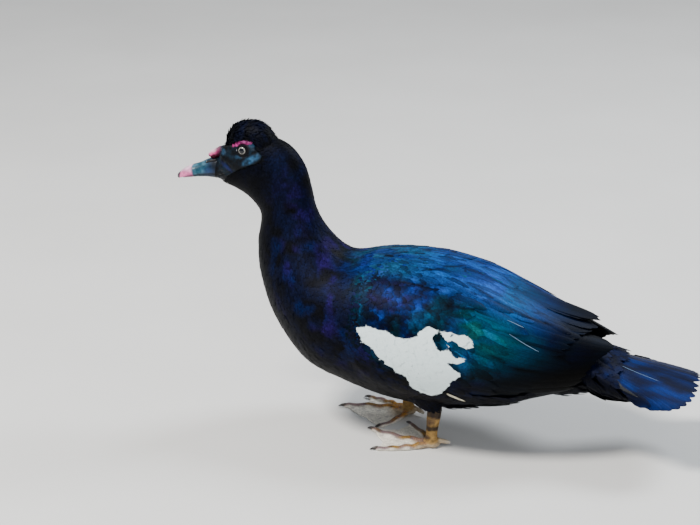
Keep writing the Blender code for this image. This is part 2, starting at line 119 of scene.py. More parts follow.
BILL_LOWER = [
    (-291, 339.8, 331, 13),
    (-305, 338.6, 331.8, 11),
    (-320, 336.4, 331.2, 10.4),
    (-334, 333.6, 329.2, 10),
    (-343, 330.8, 327.4, 6.5),
]
EYE_AT, EYE_R = np.array([17.4, -253.8, 376.6]), 7.6
TARSUS_TOP = 48.0
HEEL = {"left": (56.0, 12.0), "right": (-39.0, -42.0)}
TOES = {  # root and tip angle outwards from -Y, length, half width
    "left": {"inner": (-64, -53, 72, 5.2), "middle": (-5, -17.5, 92, 6.4), "outer": (38, 24, 74, 5.8)},
    "right": {"inner": (-80, -64, 63, 5.2), "middle": (11, -1.5, 90, 6.4), "outer": (41, 28, 72, 5.8)},
}

# ------------------------------------------------------------ small functions


def along(rows, t):
    """A smooth curve through rows, at stations 0, 1, 2 ..."""
    rows = np.asarray(rows, float)
    n = len(rows)
    t = np.clip(np.asarray(t, float), 0, n - 1)
    i = np.minimum(t.astype(int), n - 2)
    f = (t - i)[..., None]
    ends = np.vstack([2 * rows[0] - rows[1], rows, 2 * rows[-1] - rows[-2]])
    a, b, c, d = ends[i], ends[i + 1], ends[i + 2], ends[i + 3]
    return 0.5 * (2 * b + (c - a) * f + (2 * a - 5 * b + 4 * c - d) * f**2 + (3 * b - 3 * c + d - a) * f**3)


def at(rows, x):
    """The rows read where their first column is x."""
    rows = np.asarray(rows, float)
    fine = along(rows, np.linspace(0, len(rows) - 1, 60 * len(rows)))
    order = np.argsort(fine[:, 0])
    return np.stack([np.interp(x, fine[order, 0], fine[order, k]) for k in range(rows.shape[1])], -1)


def smooth(a, b, x):
    t = np.clip((np.asarray(x, float) - a) / (b - a), 0, 1)
    return t * t * (3 - 2 * t)


def power(x, e):
    return np.sign(x) * np.abs(x) ** e


def unit(v):
    return v / np.maximum(np.linalg.norm(v, axis=-1, keepdims=True), 1e-9)


def noise(points, size, seed=0):
    """Soft value noise from 0 to 1 over space, with lumps about size across."""
    q = np.asarray(points, float) / size
    cell = np.floor(q)
    f = q - cell
    f = f * f * (3 - 2 * f)
    cell = cell.astype(np.int64)
    total = 0.0
    for dx in (0, 1):
        for dy in (0, 1):
            for dz in (0, 1):
                n = (cell[..., 0] + dx) * 73856093 ^ (cell[..., 1] + dy) * 19349663 ^ (cell[..., 2] + dz) * 83492791
                n = (n ^ (seed * 7919 + 12345)) & 0x7FFFFFFF
                n = (n ^ (n >> 13)) * 1274126177 & 0x7FFFFFFF
                n = (n ^ (n >> 15)) * 668265263 & 0x7FFFFFFF
                value = ((n >> 7) & 0xFFFF) / 65535.0
                weight = (f[..., 0] if dx else 1 - f[..., 0]) * (f[..., 1] if dy else 1 - f[..., 1]) * (f[..., 2] if dz else 1 - f[..., 2])
                total = total + value * weight
    return total


def colour(r, g, b):
    """An sRGB colour of 0 to 255 as linear numbers."""
    c = np.array([r, g, b], float) / 255
    return np.where(c <= 0.04045, c / 12.92, ((c + 0.055) / 1.055) ** 2.4)


def mix(a, b, t):
    t = np.asarray(t, float)[..., None]
    return np.asarray(a, float) * (1 - t) + np.asarray(b, float) * t


def inside_distance(x, y, outline):
    """How far a flat point lies inside a closed outline, negative outside."""
    outline = np.asarray(outline, float)
    best = np.full(np.shape(x), 1e9)
    crossings = np.zeros(np.shape(x), bool)
    for (ax, ay), (bx, by) in zip(outline, np.roll(outline, -1, 0)):
        ex, ey = bx - ax, by - ay
        t = np.clip(((x - ax) * ex + (y - ay) * ey) / (ex * ex + ey * ey), 0, 1)
        best = np.minimum(best, np.hypot(x - ax - t * ex, y - ay - t * ey))
        straddles = (ay > y) != (by > y)
        where = ax + (y - ay) / np.where(by == ay, 1e-9, by - ay) * ex
        crossings ^= straddles & (x < where)
    return np.where(crossings, best, -best)


# ------------------------------------------------------------------ surfaces


class Sheet:
    """A surface read from a grid of points. p runs with the lie of the feathers and q across it."""

    def __init__(self, function, p_span, q_span, count, hand=None, round_q=False):
        self.p0, self.p1 = p_span
        self.q0, self.q1 = q_span
        self.m, self.n = count
        p = np.linspace(*p_span, self.m)
        q = np.linspace(*q_span, self.n)
        grid = function(*np.meshgrid(p, q, indexing="ij"))
        self.round_q = round_q
        self.tp = np.gradient(grid, p, axis=0)
        if round_q:
            wide = np.concatenate([grid[:, -2:-1], grid, grid[:, 1:2]], 1)
            self.tq = (wide[:, 2:] - wide[:, :-2]) / (2 * (q[1] - q[0]))
        else:
            self.tq = np.gradient(grid, q, axis=1)
        normal = unit(np.cross(self.tp, self.tq))
        if hand is None:
            hand = 1.0 if np.mean(np.sum(normal * (grid - grid.mean(1, keepdims=True)), -1)) > 0 else -1.0
        self.hand = hand
        self.normal = normal * hand
        self.grid = grid

    def read(self, field, p, q):
        i = np.clip((p - self.p0) / (self.p1 - self.p0) * (self.m - 1), 0, self.m - 1.0001)
        if self.round_q:
            q = self.q0 + np.mod(q - self.q0, self.q1 - self.q0)
        j = np.clip((q - self.q0) / (self.q1 - self.q0) * (self.n - 1), 0, self.n - 1.0001)
        a, b = i.astype(int), j.astype(int)
        f, g = (i - a)[..., None], (j - b)[..., None]
        return (field[a, b] * (1 - f) + field[a + 1, b] * f) * (1 - g) + (field[a, b + 1] * (1 - f) + field[a + 1, b + 1] * f) * g

    def point(self, p, q):
        p, q = np.broadcast_arrays(np.asarray(p, float), np.asarray(q, float))
        out = self.read(self.grid, p, q)
        past = p - np.clip(p, self.p0, self.p1)
        if np.any(past):
            out = out + past[..., None] * self.read(self.tp, p, q)
        if not self.round_q:
            past = q - np.clip(q, self.q0, self.q1)
            if np.any(past):
                out = out + past[..., None] * self.read(self.tq, p, q)
        return out

    def out(self, p, q):
        p, q = np.broadcast_arrays(np.asarray(p, float), np.asarray(q, float))
        return unit(self.read(self.normal, p, q))

    def rate(self, p, q):
        """Millimetres per unit of p and of q."""
        p, q = np.broadcast_arrays(np.asarray(p, float), np.asarray(q, float))
        return (
            np.linalg.norm(self.read(self.tp, p, q), axis=-1),
            np.linalg.norm(self.read(self.tq, p, q), axis=-1),
        )


def wing_shares(x, y, z):
    """Where a point lies on the wing's hull: v round it from the belly to the back, scaled radius, and share from the wing's lower edge to its upper one."""
    s = at(WING_HULL, y)
    mid, half = (s[..., 1] + s[..., 2]) / 2, (s[..., 1] - s[..., 2]) / 2
    sx = np.abs(x / s[..., 3]) ** (1 / 0.92)
    cz = -(z - mid) / half
    v = np.arctan2(sx, cz) / (2 * np.pi)
    low, high = at(WING_LOW, y)[..., 1], at(WING_HIGH, y)[..., 1]
    return v, np.hypot(sx, cz), (v - low) / (high - low), mid


def wing_front(b):
    rows = np.array(WING_FRONT, float)
    return np.interp(b, rows[:, 0], rows[:, 1])


def plain_body(u, v):
    s = along(BODY, u)
    phi = 2 * np.pi * np.asarray(v, float)
    p, q = power(np.sin(phi), s[..., 6]), -np.cos(phi)
    level = s[..., 5]
    share = np.where(q > 0, level + (1 - level) * q, level + level * q)
    return np.stack([s[..., 4] * p, s[..., 2] + (s[..., 0] - s[..., 2]) * share, s[..., 3] + (s[..., 1] - s[..., 3]) * share], -1)


def under_wing(point):
    """0 clear of the wing, 1 where the folded wing covers the body."""
    x, y, z = point[..., 0], point[..., 1], point[..., 2]
    _, _, b, _ = wing_shares(x, y, z)
    front = wing_front(b)
    return smooth(front - 30, front + 8, y) * smooth(-0.16, 0.05, b) * (1 - smooth(1.02, 1.22, b)) * (1 - smooth(120, 175, y) * (1 - smooth(0.3, 0.6, b)))


def body_point(u, v):
    """The outside of the coat: the body, risen where it climbs onto the folded wing's edges."""
    point = plain_body(u, v)
    x, y, z = point[..., 0], point[..., 1], point[..., 2]
    _, radius, b, mid = wing_shares(x, y, z)
    cover = under_wing(point) * (1 - smooth(170, 215, y))
    grow = 1 + cover * np.clip(1 / np.maximum(radius, 0.3) - 1, 0, 0.35)
    return np.stack([x * grow, y, mid + (z - mid) * grow], -1)


def hull_point(y, v):
    s = at(WING_HULL, y)
    phi = 2 * np.pi * np.asarray(v, float)
    mid, half = (s[..., 1] + s[..., 2]) / 2, (s[..., 1] - s[..., 2]) / 2
    return np.stack([s[..., 3] * power(np.sin(phi), 0.92), np.asarray(y, float) + 0 * phi, mid - half * np.cos(phi)], -1)


def tail_top(y, x):
    s = at(TAIL, y)
    arch = np.sqrt(np.clip(1 - (x / s[..., 2]) ** 2, 0, 1)) ** 0.9
    return np.stack([x, y, s[..., 1] + s[..., 3] * arch - 16.5 * (x / 78) ** 2], -1)


def crest_point(p, q):
    s = along(CREST, p)
    phi = (q - 0.5) * math.radians(230)
    return np.stack([s[..., 2] * np.sin(phi), s[..., 0], s[..., 1] - s[..., 3] + s[..., 3] * np.cos(phi)], -1)


def tail_round(y, q):
    """The tail's own outside, all the way round: q is 0 below and 0.5 on top."""
    s = at(TAIL, y)
    phi = 2 * np.pi * np.asarray(q, float)
    x, c = s[..., 2] * np.sin(phi), -np.cos(phi)
    return np.stack([x, y + 0 * phi, s[..., 1] + np.where(c > 0, s[..., 3], s[..., 4]) * power(c, 0.9) - 16.5 * (x / 78) ** 2], -1)


body = Sheet(body_point, (0, len(BODY) - 1), (0, 1), (441, 321), round_q=True)
wing = {
    1: Sheet(hull_point, (-138, 248), (0.04, 0.515), (301, 161)),
    -1: Sheet(lambda y, v: hull_point(y, v) * np.array([-1.0, 1, 1]), (-138, 248), (0.04, 0.515), (301, 161)),
}
tail_sheet = Sheet(tail_top, (180, 356), (-84, 84), (121, 121), hand=-1.0)
tail_around = Sheet(tail_round, (180, 356), (0, 1), (121, 161), round_q=True)
crest_sheet = Sheet(crest_point, (0, 6), (0, 1), (121, 121))

# ------------------------------------------------------------------- markings

BLACK, NAVY, PURPLE, DEEP = colour(5, 6, 11), colour(6, 12, 38), colour(28, 12, 74), colour(4, 20, 62)
BLUE, BRIGHT, TEAL = colour(6, 46, 122), colour(16, 84, 172), colour(4, 74, 102)
GREEN, FOREST, SLATE = colour(2, 72, 74), colour(3, 36, 34), colour(40, 90, 120)
ROUND = 520.0  # about the hull's millimetres for one unit of v

# the white wing patch, as the hull's y and v
PATCH = [
    (-80, 0.290), (-69, 0.262), (-56, 0.252), (-45, 0.233), (-32, 0.219), (-24, 0.210), (-12, 0.200), (-9, 0.187), (-2, 0.172),
    (8, 0.158), (20, 0.153), (31, 0.163), (40, 0.184), (48, 0.204), (59, 0.222), (60, 0.231), (52, 0.239), (45, 0.247), (41, 0.257),
    (47, 0.253), (55, 0.251), (64, 0.256), (68, 0.264), (65, 0.270), (58, 0.266), (52, 0.267), (47, 0.275), (42, 0.283),
    (46, 0.291), (48, 0.301), (46, 0.308), (42, 0.316), (30, 0.316), (24, 0.317), (16, 0.318), (8, 0.310), (3, 0.296), (-4, 0.290),
    (-14, 0.286), (-25, 0.286), (-33, 0.291), (-40, 0.297), (-48, 0.294), (-62, 0.299),
]
HOLE = [(22.5, 0.297), (30, 0.314), (37, 0.308), (42.5, 0.292), (43, 0.281), (35, 0.274), (28, 0.280)]
FLAME = [(45, 0.317), (50, 0.316), (57, 0.311), (64, 0.318), (71, 0.314), (75, 0.299), (66, 0.289), (59, 0.292), (50, 0.303)]


def white_field(y, v):
    """Millimetres inside the white patch, negative outside it."""
    flat = lambda outline: [(a, b * ROUND) for a, b in outline]
    w = v * ROUND
    # the lower front edge is fringed by the white feathers' tips
    low_edge = smooth(0.01, -0.02, v - np.interp(y, [-80, -9, 20, 60], [0.285, 0.195, 0.150, 0.21]))
    ripple = noise(np.stack([y * 0.35 + w * 0.18, w * 1.1, 0 * y], -1), 3.2, 5) - 0.5
    field = inside_distance(y, w, flat(PATCH))
    field = np.minimum(field, -inside_distance(y, w, flat(HOLE)))
    field = np.maximum(field, inside_distance(y, w, flat(FLAME)))
    # slits run up and back into the white from that edge
    slit = noise(np.stack([(y + 0.55 * w) * 0.12, (w - 0.75 * y) * 0.42, 0 * y], -1), 1.0, 7) - 0.5
    field = (field + ripple * (0.9 + 2.0 * low_edge) + 7.0 * slit * low_edge) * (1 - 0.5 * low_edge)
    for fy, fv, size in FLECKS:
        field = np.maximum(field, size - np.hypot((y - fy) * 0.6, w - fv * ROUND))
    return field


def white_at(point):
    v, radius, b, _ = wing_shares(point[..., 0], point[..., 1], point[..., 2])
    out = np.full(point.shape[:-1], -50.0)
    near = (np.abs(point[..., 1]) < 100) & (radius > 0.8) & (v > 0.12) & (v < 0.38)
    if np.any(near):
        out[near] = white_field(point[..., 1][near], v[near])
    return out


FLECKS = [(55, 0.363, 0.9), (61, 0.359, 0.55)]
SHADE_GAPS = [  # painted shade: dark lines where one group of feathers overhangs the next: y, v along each, and its half width
    ([(56, 0.436), (63, 0.432), (82, 0.423), (103, 0.416), (123, 0.408), (158, 0.412)], 2.8),
    ([(36, 0.370), (58, 0.376), (77, 0.378), (96, 0.373)], 2.4),
    ([(-8, 0.440), (20, 0.453)], 1.6), ([(16, 0.460), (42, 0.482)], 1.6), ([(-61, 0.476), (-43, 0.478)], 2.6),
    ([(-30, 0.404), (-2, 0.400), (22, 0.398)], 1.3), ([(110, 0.352), (140, 0.338), (176, 0.330)], 1.5), ([(96, 0.290), (128, 0.262), (160, 0.246)], 1.5),
]


def gap_shade(y, v):
    """1 in the painted shade lines between the wing's feather groups, 0 away from them."""
    dark = np.zeros(np.shape(y))
    w = v * ROUND + 2.2 * (noise(np.stack([y, v * ROUND, 0 * y], -1), 9, 35) - 0.5)
    for line, half in SHADE_GAPS:
        far = np.full(np.shape(y), 1e3)
        for (ay, av), (by, bv) in zip(line, line[1:]):
            aw, bw = av * ROUND, bv * ROUND
            k = np.clip(((y - ay) * (by - ay) + (w - aw) * (bw - aw)) / ((by - ay) ** 2 + (bw - aw) ** 2), 0, 1)
            far = np.minimum(far, np.hypot(y - ay - k * (by - ay), w - aw - k * (bw - aw)))
        dark = np.maximum(dark, np.exp(-((far / half) ** 2)))
    return dark


def body_tint(point, p, q, t, s, r):
    """Colours of the body's feathers by their place."""
    top = 1 - np.abs(np.mod(q, 1) - 0.5) * 2
    cloud = noise(point, 17, 1)
    fleck = noise(point, 5.5, 2)
    base = mix(BLACK, NAVY, smooth(0.25, 0.75, cloud) * smooth(0.2, 0.55, top) * smooth(3, 8, p) * 0.8)
    sheen = smooth(0.46, 0.78, noise(point * [1, 1, 0.6], 11, 3)) * smooth(2.5, 6, p) * (1 - smooth(13, 17, p)) * smooth(0.24, 0.5, top)
    base = mix(base, mix(PURPLE, DEEP, smooth(0.3, 0.7, noise(point, 23, 5))), sheen * (0.15 + 0.5 * smooth(7.5, 11, p)))
    hind = np.exp(-(((point[..., 1] + 181 + 0.35 * (point[..., 2] - 311)) / 10) ** 2 + ((point[..., 2] - 314) / 30) ** 2))
    base = mix(base, PURPLE, hind * smooth(0.25, 0.7, noise(point, 7, 6)) * 0.6)
    mantle = smooth(11.0, 13.2, p + (top - 0.8) * 3) * smooth(0.60, 0.84, top)
    deep = mix(mix(TEAL, BLUE, smooth(0.3, 0.7, cloud)), SLATE, smooth(0.45, 0.9, noise(point, 26, 4)) * 0.45)
    base = mix(base, deep, mantle * (0.55 + 0.45 * fleck))
    rump = smooth(16.5, 18.5, p) * smooth(0.45, 0.7, top)
    base = mix(base, mix(BLACK, NAVY, smooth(0.3, 0.8, cloud)), rump * 0.95)
    return base * (0.62 + 0.7 * r + 0.5 * (fleck - 0.5))[..., None] * (1 - 0.12 * smooth(0.8, 1.0, t))[..., None]


def wing_colour(point, y, v):
    """The closed wing's colours by place: blue along the back, mottled dark blue, purple and teal on the coverts, green-teal behind the white patch, and near black below."""
    a, b, c = noise(point, 15, 11), noise(point, 6.5, 12), noise(point, 27, 13)
    streak = noise(point * [1, 0.4, 1], 6.0, 16)
    base = mix(DEEP, BLUE, smooth(0.38, 0.8, 0.6 * a + 0.4 * streak))
    base = mix(base, PURPLE, smooth(0.55, 0.85, noise(point, 8.5, 14)) * 0.50 * (1 - smooth(60, 130, y)))
    base = mix(base, TEAL, smooth(0.45, 0.8, c) * 0.65)
    base = mix(base, FOREST, smooth(0.48, 0.75, noise(point, 13, 15)) * smooth(0.38, 0.29, v) * 0.7)
    green = np.exp(-(((y - 88) / 36) ** 2 + ((v - 0.328 + 0.0006 * (y - 88)) / 0.050) ** 2))
    base = mix(base, mix(GREEN, TEAL, smooth(0.35, 0.75, streak)), np.clip(green * 1.35, 0, 0.92))
    late = np.exp(-(((y - 140) / 44) ** 2 + ((v - 0.27) / 0.06) ** 2))
    base = mix(base, mix(TEAL, DEEP, 0.35), late * 0.6)
    back = smooth(0.385, 0.44, v + 0.00022 * np.clip(y, -60, 100))
    along_back = mix(mix(TEAL, SLATE, 0.45), BRIGHT, smooth(-70, 35, y) * 0.85)
    along_back = mix(along_back, BLUE, smooth(0.40, 0.75, noise(point * [1, 0.5, 1], 17, 31)) * 0.75)
    along_back = mix(along_back, TEAL, smooth(0.55, 0.85, c) * 0.5)
    base = mix(base, along_back, back * (0.70 + 0.30 * b))
    base = mix(base, NAVY, smooth(120, 215, y) * (0.55 + 0.4 * streak))
    base = mix(base, BLACK, smooth(0.27, 0.185, v - 0.0002 * np.clip(y, 0, 200)) * 0.92)
    coverts = smooth(0.435, 0.395, v) * (1 - smooth(30, 75, y))
    tone = (1 - (0.62 - 0.5 * smooth(0.5, 0.8, b)) * coverts) * (1 - 0.80 * smooth(-72, -116, y) * smooth(0.46, 0.41, v)) * (1 - 0.90 * smooth(88, 196, y + 14 * (a - 0.5)))
    tone = tone * (1 - 0.55 * smooth(60, 110, y) * smooth(0.30, 0.24, v)) * (1 - 0.35 * back)
    # painted shade along the lines between feather groups
    return base * (tone * (1 - 0.88 * gap_shade(y, v)))[..., None]


def wing_tint(point, p, q, t, s, r):
    return wing_colour(point, p, q) * (0.40 + 1.1 * r**1.3)[..., None] * (1 - 0.25 * smooth(0.75, 1.0, t) - 0.25 * smooth(0.6, 1.0, np.abs(s)))[..., None]


# --------------------------------------------------------------- feather work

rng = np.random.default_rng(2417)


def shape(rows, cols, root=0.30, full=0.42, tip=0.30, blunt=0.90):
    """A vane's plan: shares along, width share at each, and columns across from -1 to 1."""
    t = np.concatenate([np.linspace(0, 0.72, rows - 3), [0.86, 0.95, 1.0]]) if rows > 4 else np.linspace(0, 1, rows)
    wide = root + (1 - root) * np.sin(np.clip(t / full, 0, 1) * np.pi / 2) ** 0.8
    past = np.clip((t - (1 - tip)) / tip, 0, 1)
    wide = wide * np.sqrt(np.maximum(1 - (past * blunt) ** 2, 0))
    return t, wide, np.linspace(-1, 1, cols)


SCALE = shape(5, 3, root=0.35, full=0.45, tip=0.52, blunt=0.95)
CONTOUR = shape(6, 3, root=0.32, full=0.38, tip=0.55, blunt=0.965)
COVERT = shape(8, 5, root=0.30, full=0.35, tip=0.36, blunt=0.95)
SCAPULAR = shape(9, 5, root=0.28, full=0.32, tip=0.46, blunt=0.965)
LONG = shape(15, 7, root=0.25, full=0.20, tip=0.17, blunt=0.95)
RECTRIX = shape(15, 7, root=0.30, full=0.25, tip=0.12, blunt=0.90)
PLUME = shape(5, 3, root=0.5, full=0.4, tip=0.7, blunt=0.97)
QUILL = shape(8, 3, root=0.9, full=0.1, tip=0.9, blunt=0.9)


class Coat:
    """Feathers gathered into one mesh."""

    def __init__(self, name, skin_map):
        self.name, self.skin_map = name, skin_map
        self.points, self.quads, self.threes, self.bake, self.vane, self.tint, self.white, self.rim = [], [], [], [], [], [], [], []
        self.facing, self.upper, self.rib = [], [], []
        self.count = 0

    def lay(self, sheet, start, end, width, low, high, form, tint, camber=0.045, rise=0.5, roll=0.0, thick=0.30,
            bow=0.0, ragged=0.0, fray=0.0, patch=0.003, place=None, wave=0.0, soft=0.6, rib=0.0):
        """Feathers from start to end, pairs of (p, q). low and high are how far the root and tip stand off the sheet.

        soft draws a vane's shading to its neighbours', rib is how pale its shaft is, and fray nibbles its sides.
        """
        t, wide, cols = form
        p0, q0 = (np.asarray(x, float) for x in start)
        p1, q1 = (np.asarray(x, float) for x in end)
        n, rows, c = len(p0), len(t), len(cols)
        if n == 0:
            return
        width, low, high, bow, roll = (np.broadcast_to(np.asarray(x, float), (n,)) for x in (width, low, high, bow, roll))
        # the tip is round: the middle of the vane runs on past its sides
        share = t[None, :, None] * (1 - 0.035 * (np.abs(cols[None, None, :]) ** 2) * (t[None, :, None] ** 3))
        share = np.repeat(share, n, 0)
        if ragged:
            share = share + ragged * rng.uniform(-1, 1, (n, rows, c)) * (t[None, :, None] > 0.8)
        p = p0[:, None, None] + (p1 - p0)[:, None, None] * share
        q = q0[:, None, None] + (q1 - q0)[:, None, None] * share
        rate_p, rate_q = sheet.rate(p0[:, None, None] + (p1 - p0)[:, None, None] * t[None, :, None], q0[:, None, None] + (q1 - q0)[:, None, None] * t[None, :, None])
        ahead_p, ahead_q = (p1 - p0)[:, None, None] * rate_p, (q1 - q0)[:, None, None] * rate_q * sheet.hand
        size = np.maximum(np.hypot(ahead_p, ahead_q), 1e-6)
        dir_p, dir_q = ahead_p / size, ahead_q / size
        across = width[:, None, None] / 2 * wide[None, :, None] * cols[None, None, :]
        if fray:
            across = across * (1 - fray * rng.uniform(0, 1, (n, rows, c)) * (np.abs(cols) > 0.9) * (t[None, :, None] > 0.3))
        across = across + bow[:, None, None] * np.sin(np.pi * 0.5 * share)
        p = p - across * dir_q / rate_p
        q = q + across * dir_p / rate_q * sheet.hand
        length = size[:, 0, 0]
        where, out = sheet.point(p, q), sheet.out(p, q)
        lift = low[:, None, None] + (high - low)[:, None, None] * share**rise
        lift = lift + camber * width[:, None, None] * wide[None, :, None] * (0.55 - cols[None, None, :] ** 2)
        lift = lift + roll[:, None, None] * across
        if wave:
            lift = lift + wave * rng.uniform(-1, 1, (n, 1, 1)) * share**2
        top = where + out * lift[..., None]
        facing = unit(np.cross(np.gradient(top, axis=1), np.gradient(top, axis=2)))
        facing = facing * np.sign(np.sum(facing * out, -1, keepdims=True) + 1e-9)
        facing = unit(facing * (1 - soft) + out * soft)
        middle = c // 2
        under = top[:, 1:-1, middle] - out[:, 1:-1, middle] * (thick * (0.5 + 0.5 * wide[None, 1:-1, None]))
        r = rng.uniform(0, 1, (n, 1, 1)) + 0 * p
        shade = tint(top, p, q, share, cols[None, None, :] + 0 * p, r)
        white = white_at(top)
        white = white + 0.22 * (white[:, rows // 2 + 1, middle][:, None, None] - white)
        # one patch of the bake map for each feather, at its root's place on the skin's unwrap
        if place is None:
            place = self.skin_map(p0, q0)
        centre = np.stack(place, -1)
        bake = centre[:, None, None, :] + patch * np.stack([cols[None, None, :] * 0.5 + 0 * p, share - 0.5], -1)
        vane = np.stack([across - bow[:, None, None] * np.sin(np.pi * 0.5 * share), share * length[:, None, None] + 40 * rng.uniform(0, 1, (n, 1, 1))], -1)
        flat = lambda grid, extra: np.concatenate([grid.reshape(n, rows * c, -1), extra.reshape(n, rows - 2, -1)], 1).reshape(n * (rows * c + rows - 2), -1)
        self.points.append(flat(top, under))
        self.bake.append(flat(bake, bake[:, 1:-1, middle]))
        self.vane.append(flat(vane, vane[:, 1:-1, middle]))
        self.tint.append(flat(shade, shade[:, 1:-1, middle] * 0.8))
        self.white.append(flat(white[..., None], white[:, 1:-1, middle][..., None])[:, 0])
        self.facing.append(flat(facing, 0 * under))
        rib = np.broadcast_to(np.asarray(rib, float), (n,))
        self.rib.append(np.repeat(rib, rows * c + rows - 2))
        rim = np.zeros((rows, c), bool)
        rim[:, 0] = rim[:, -1] = rim[0] = rim[-1] = True
        self.rim.append(np.tile(np.concatenate([rim.ravel(), np.zeros(rows - 2, bool)]), n))
        index = lambda i, j: i * c + j
        below = lambda i: index(i, middle) if i in (0, rows - 1) else rows * c + i - 1
        quads, threes, upper = [], [], []
        for i in range(rows - 1):
            for j in range(c - 1):
                quads.append((index(i, j), index(i + 1, j), index(i + 1, j + 1), index(i, j + 1)))
            quads.append((index(i, 0), below(i), below(i + 1), index(i + 1, 0)))
            quads.append((below(i), index(i, c - 1), index(i + 1, c - 1), below(i + 1)))
            upper += [True] * (c - 1) + [False, False]
        self.upper.append(np.tile(upper, n))
        for j in range(middle - 1):  # close the root and the tip below
            threes += [(index(0, 0), index(0, j + 1), index(0, j + 2)), (index(0, c - 1), index(0, c - 2 - j - 1), index(0, c - 2 - j))]
            threes += [(index(rows - 1, 0), index(rows - 1, j + 2), index(rows - 1, j + 1)), (index(rows - 1, c - 1), index(rows - 1, c - 2 - j), index(rows - 1, c - 3 - j))]
        offset = self.count + (rows * c + rows - 2) * np.arange(n)[:, None, None]
        self.quads.append((np.array(quads)[None] + offset).reshape(-1, 4))
        if threes:
            self.threes.append((np.array(threes)[None] + offset).reshape(-1, 3))
        self.count += n * (rows * c + rows - 2)

    def build(self, material, slot, *nodes):
        points = np.concatenate(self.points)
        quads = np.concatenate(self.quads)
        threes = np.concatenate(self.threes) if self.threes else np.zeros((0, 3), int)
        obj = mesh_object(self.name, points, quads, threes, material)
        me = obj.data
        per_loop = np.concatenate([quads.ravel(), threes.ravel()])
        for name, values in (("OFBake", self.bake), ("vane", self.vane)):
            layer = me.uv_layers.new(name=name)
            layer.data.foreach_set("uv", np.concatenate(values)[per_loop].astype(np.float32).ravel())
        me.uv_layers.active_index = 0
        add_colour(me, "tint", np.concatenate(self.tint))
        for name, values in (("white", self.white), ("rib", self.rib)):
            field = me.attributes.new(name, "FLOAT", "POINT")
            field.data.foreach_set("value", np.concatenate(values).astype(np.float32))
        rim = np.concatenate(self.rim)
        ends = np.zeros(len(me.edges) * 2, np.int32)
        me.edges.foreach_get("vertices", ends)
        ends = ends.reshape(-1, 2)
        sharp = me.attributes.new("sharp_edge", "BOOLEAN", "EDGE")
        sharp.data.foreach_set("value", rim[ends[:, 0]] & rim[ends[:, 1]])
        # the upper faces take the vanes' softened shading, and the others their own
        shown = np.concatenate([np.repeat(np.concatenate(self.upper), 4), np.zeros(threes.size, bool)])
        me.normals_split_custom_set((np.concatenate(self.facing)[per_loop] * shown[:, None]).tolist())
        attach(obj, "root")
        if nodes:
            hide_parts(*nodes)
        print("piece", self.name, "triangles", len(quads) * 2 + len(threes))
        return obj


def mesh_object(name, points, quads, threes=(), material=None):
    quads = np.asarray(quads, int).reshape(-1, 4)
    threes = np.asarray(threes, int).reshape(-1, 3)
    me = bpy.data.meshes.new(name)
    me.vertices.add(len(points))
    me.vertices.foreach_set("co", (np.asarray(points, float) * MM).astype(np.float32).ravel())
    corners = np.concatenate([quads.ravel(), threes.ravel()])
    me.loops.add(len(corners))
    me.loops.foreach_set("vertex_index", corners.astype(np.int32))
    me.polygons.add(len(quads) + len(threes))
    starts = np.concatenate([np.arange(len(quads)) * 4, len(quads) * 4 + np.arange(len(threes)) * 3])
    me.polygons.foreach_set("loop_start", starts.astype(np.int32))
    me.update(calc_edges=True)
    me.polygons.foreach_set("use_smooth", np.ones(len(me.polygons), bool))
    obj = bpy.data.objects.new(name, me)
    bpy.context.scene.collection.objects.link(obj)
    if material:
        me.materials.append(material)
    return obj


def add_colour(me, name, values):
    layer = me.color_attributes.new(name, "FLOAT_COLOR", "POINT")
    values = np.clip(np.concatenate([values, np.ones((len(values), 1))], 1), 0, 1)
    layer.data.foreach_set("color", values.astype(np.float32).ravel())


def scatter(sheet, p_span, gap_along, gap_across, q_span=None, jitter=0.28):
    """Staggered rows of roots over a sheet, with gaps given as functions of p."""
    q_line = np.linspace(*(q_span or (sheet.q0, sheet.q1)), 241)
    ps, qs = [], []
    p, k = p_span[0], 0
    while p < p_span[1]:
        pts = sheet.point(p + 0 * q_line, q_line)
        run = np.concatenate([[0], np.cumsum(np.linalg.norm(np.diff(pts, axis=0), axis=1))])
        n = max(1, int(round(run[-1] / gap_across(p))))
        place = (np.arange(n) + 0.5 * (k % 2) + 0.25 + jitter * rng.uniform(-1, 1, n)) / n * run[-1]
        q = np.interp(np.mod(place, run[-1]), run, q_line)
        rate_p = sheet.rate(p + 0 * q, q)[0]
        step = gap_along(p) / np.percentile(rate_p, 70)
        ps.append(p + step * jitter * rng.uniform(-1, 1, n))
        qs.append(q)
        p += step
        k += 1
    return np.concatenate(ps), np.concatenate(qs)


def ends_of(sheet, p, q, length, turn):
    """Where a feather of that length ends, turned by some radians from the sheet's own p."""
    rate_p, rate_q = sheet.rate(p, q)
    return p + length * np.cos(turn) / rate_p, q + length * np.sin(turn) / rate_q * sheet.hand

# ------------------------------------------------------------------ materials


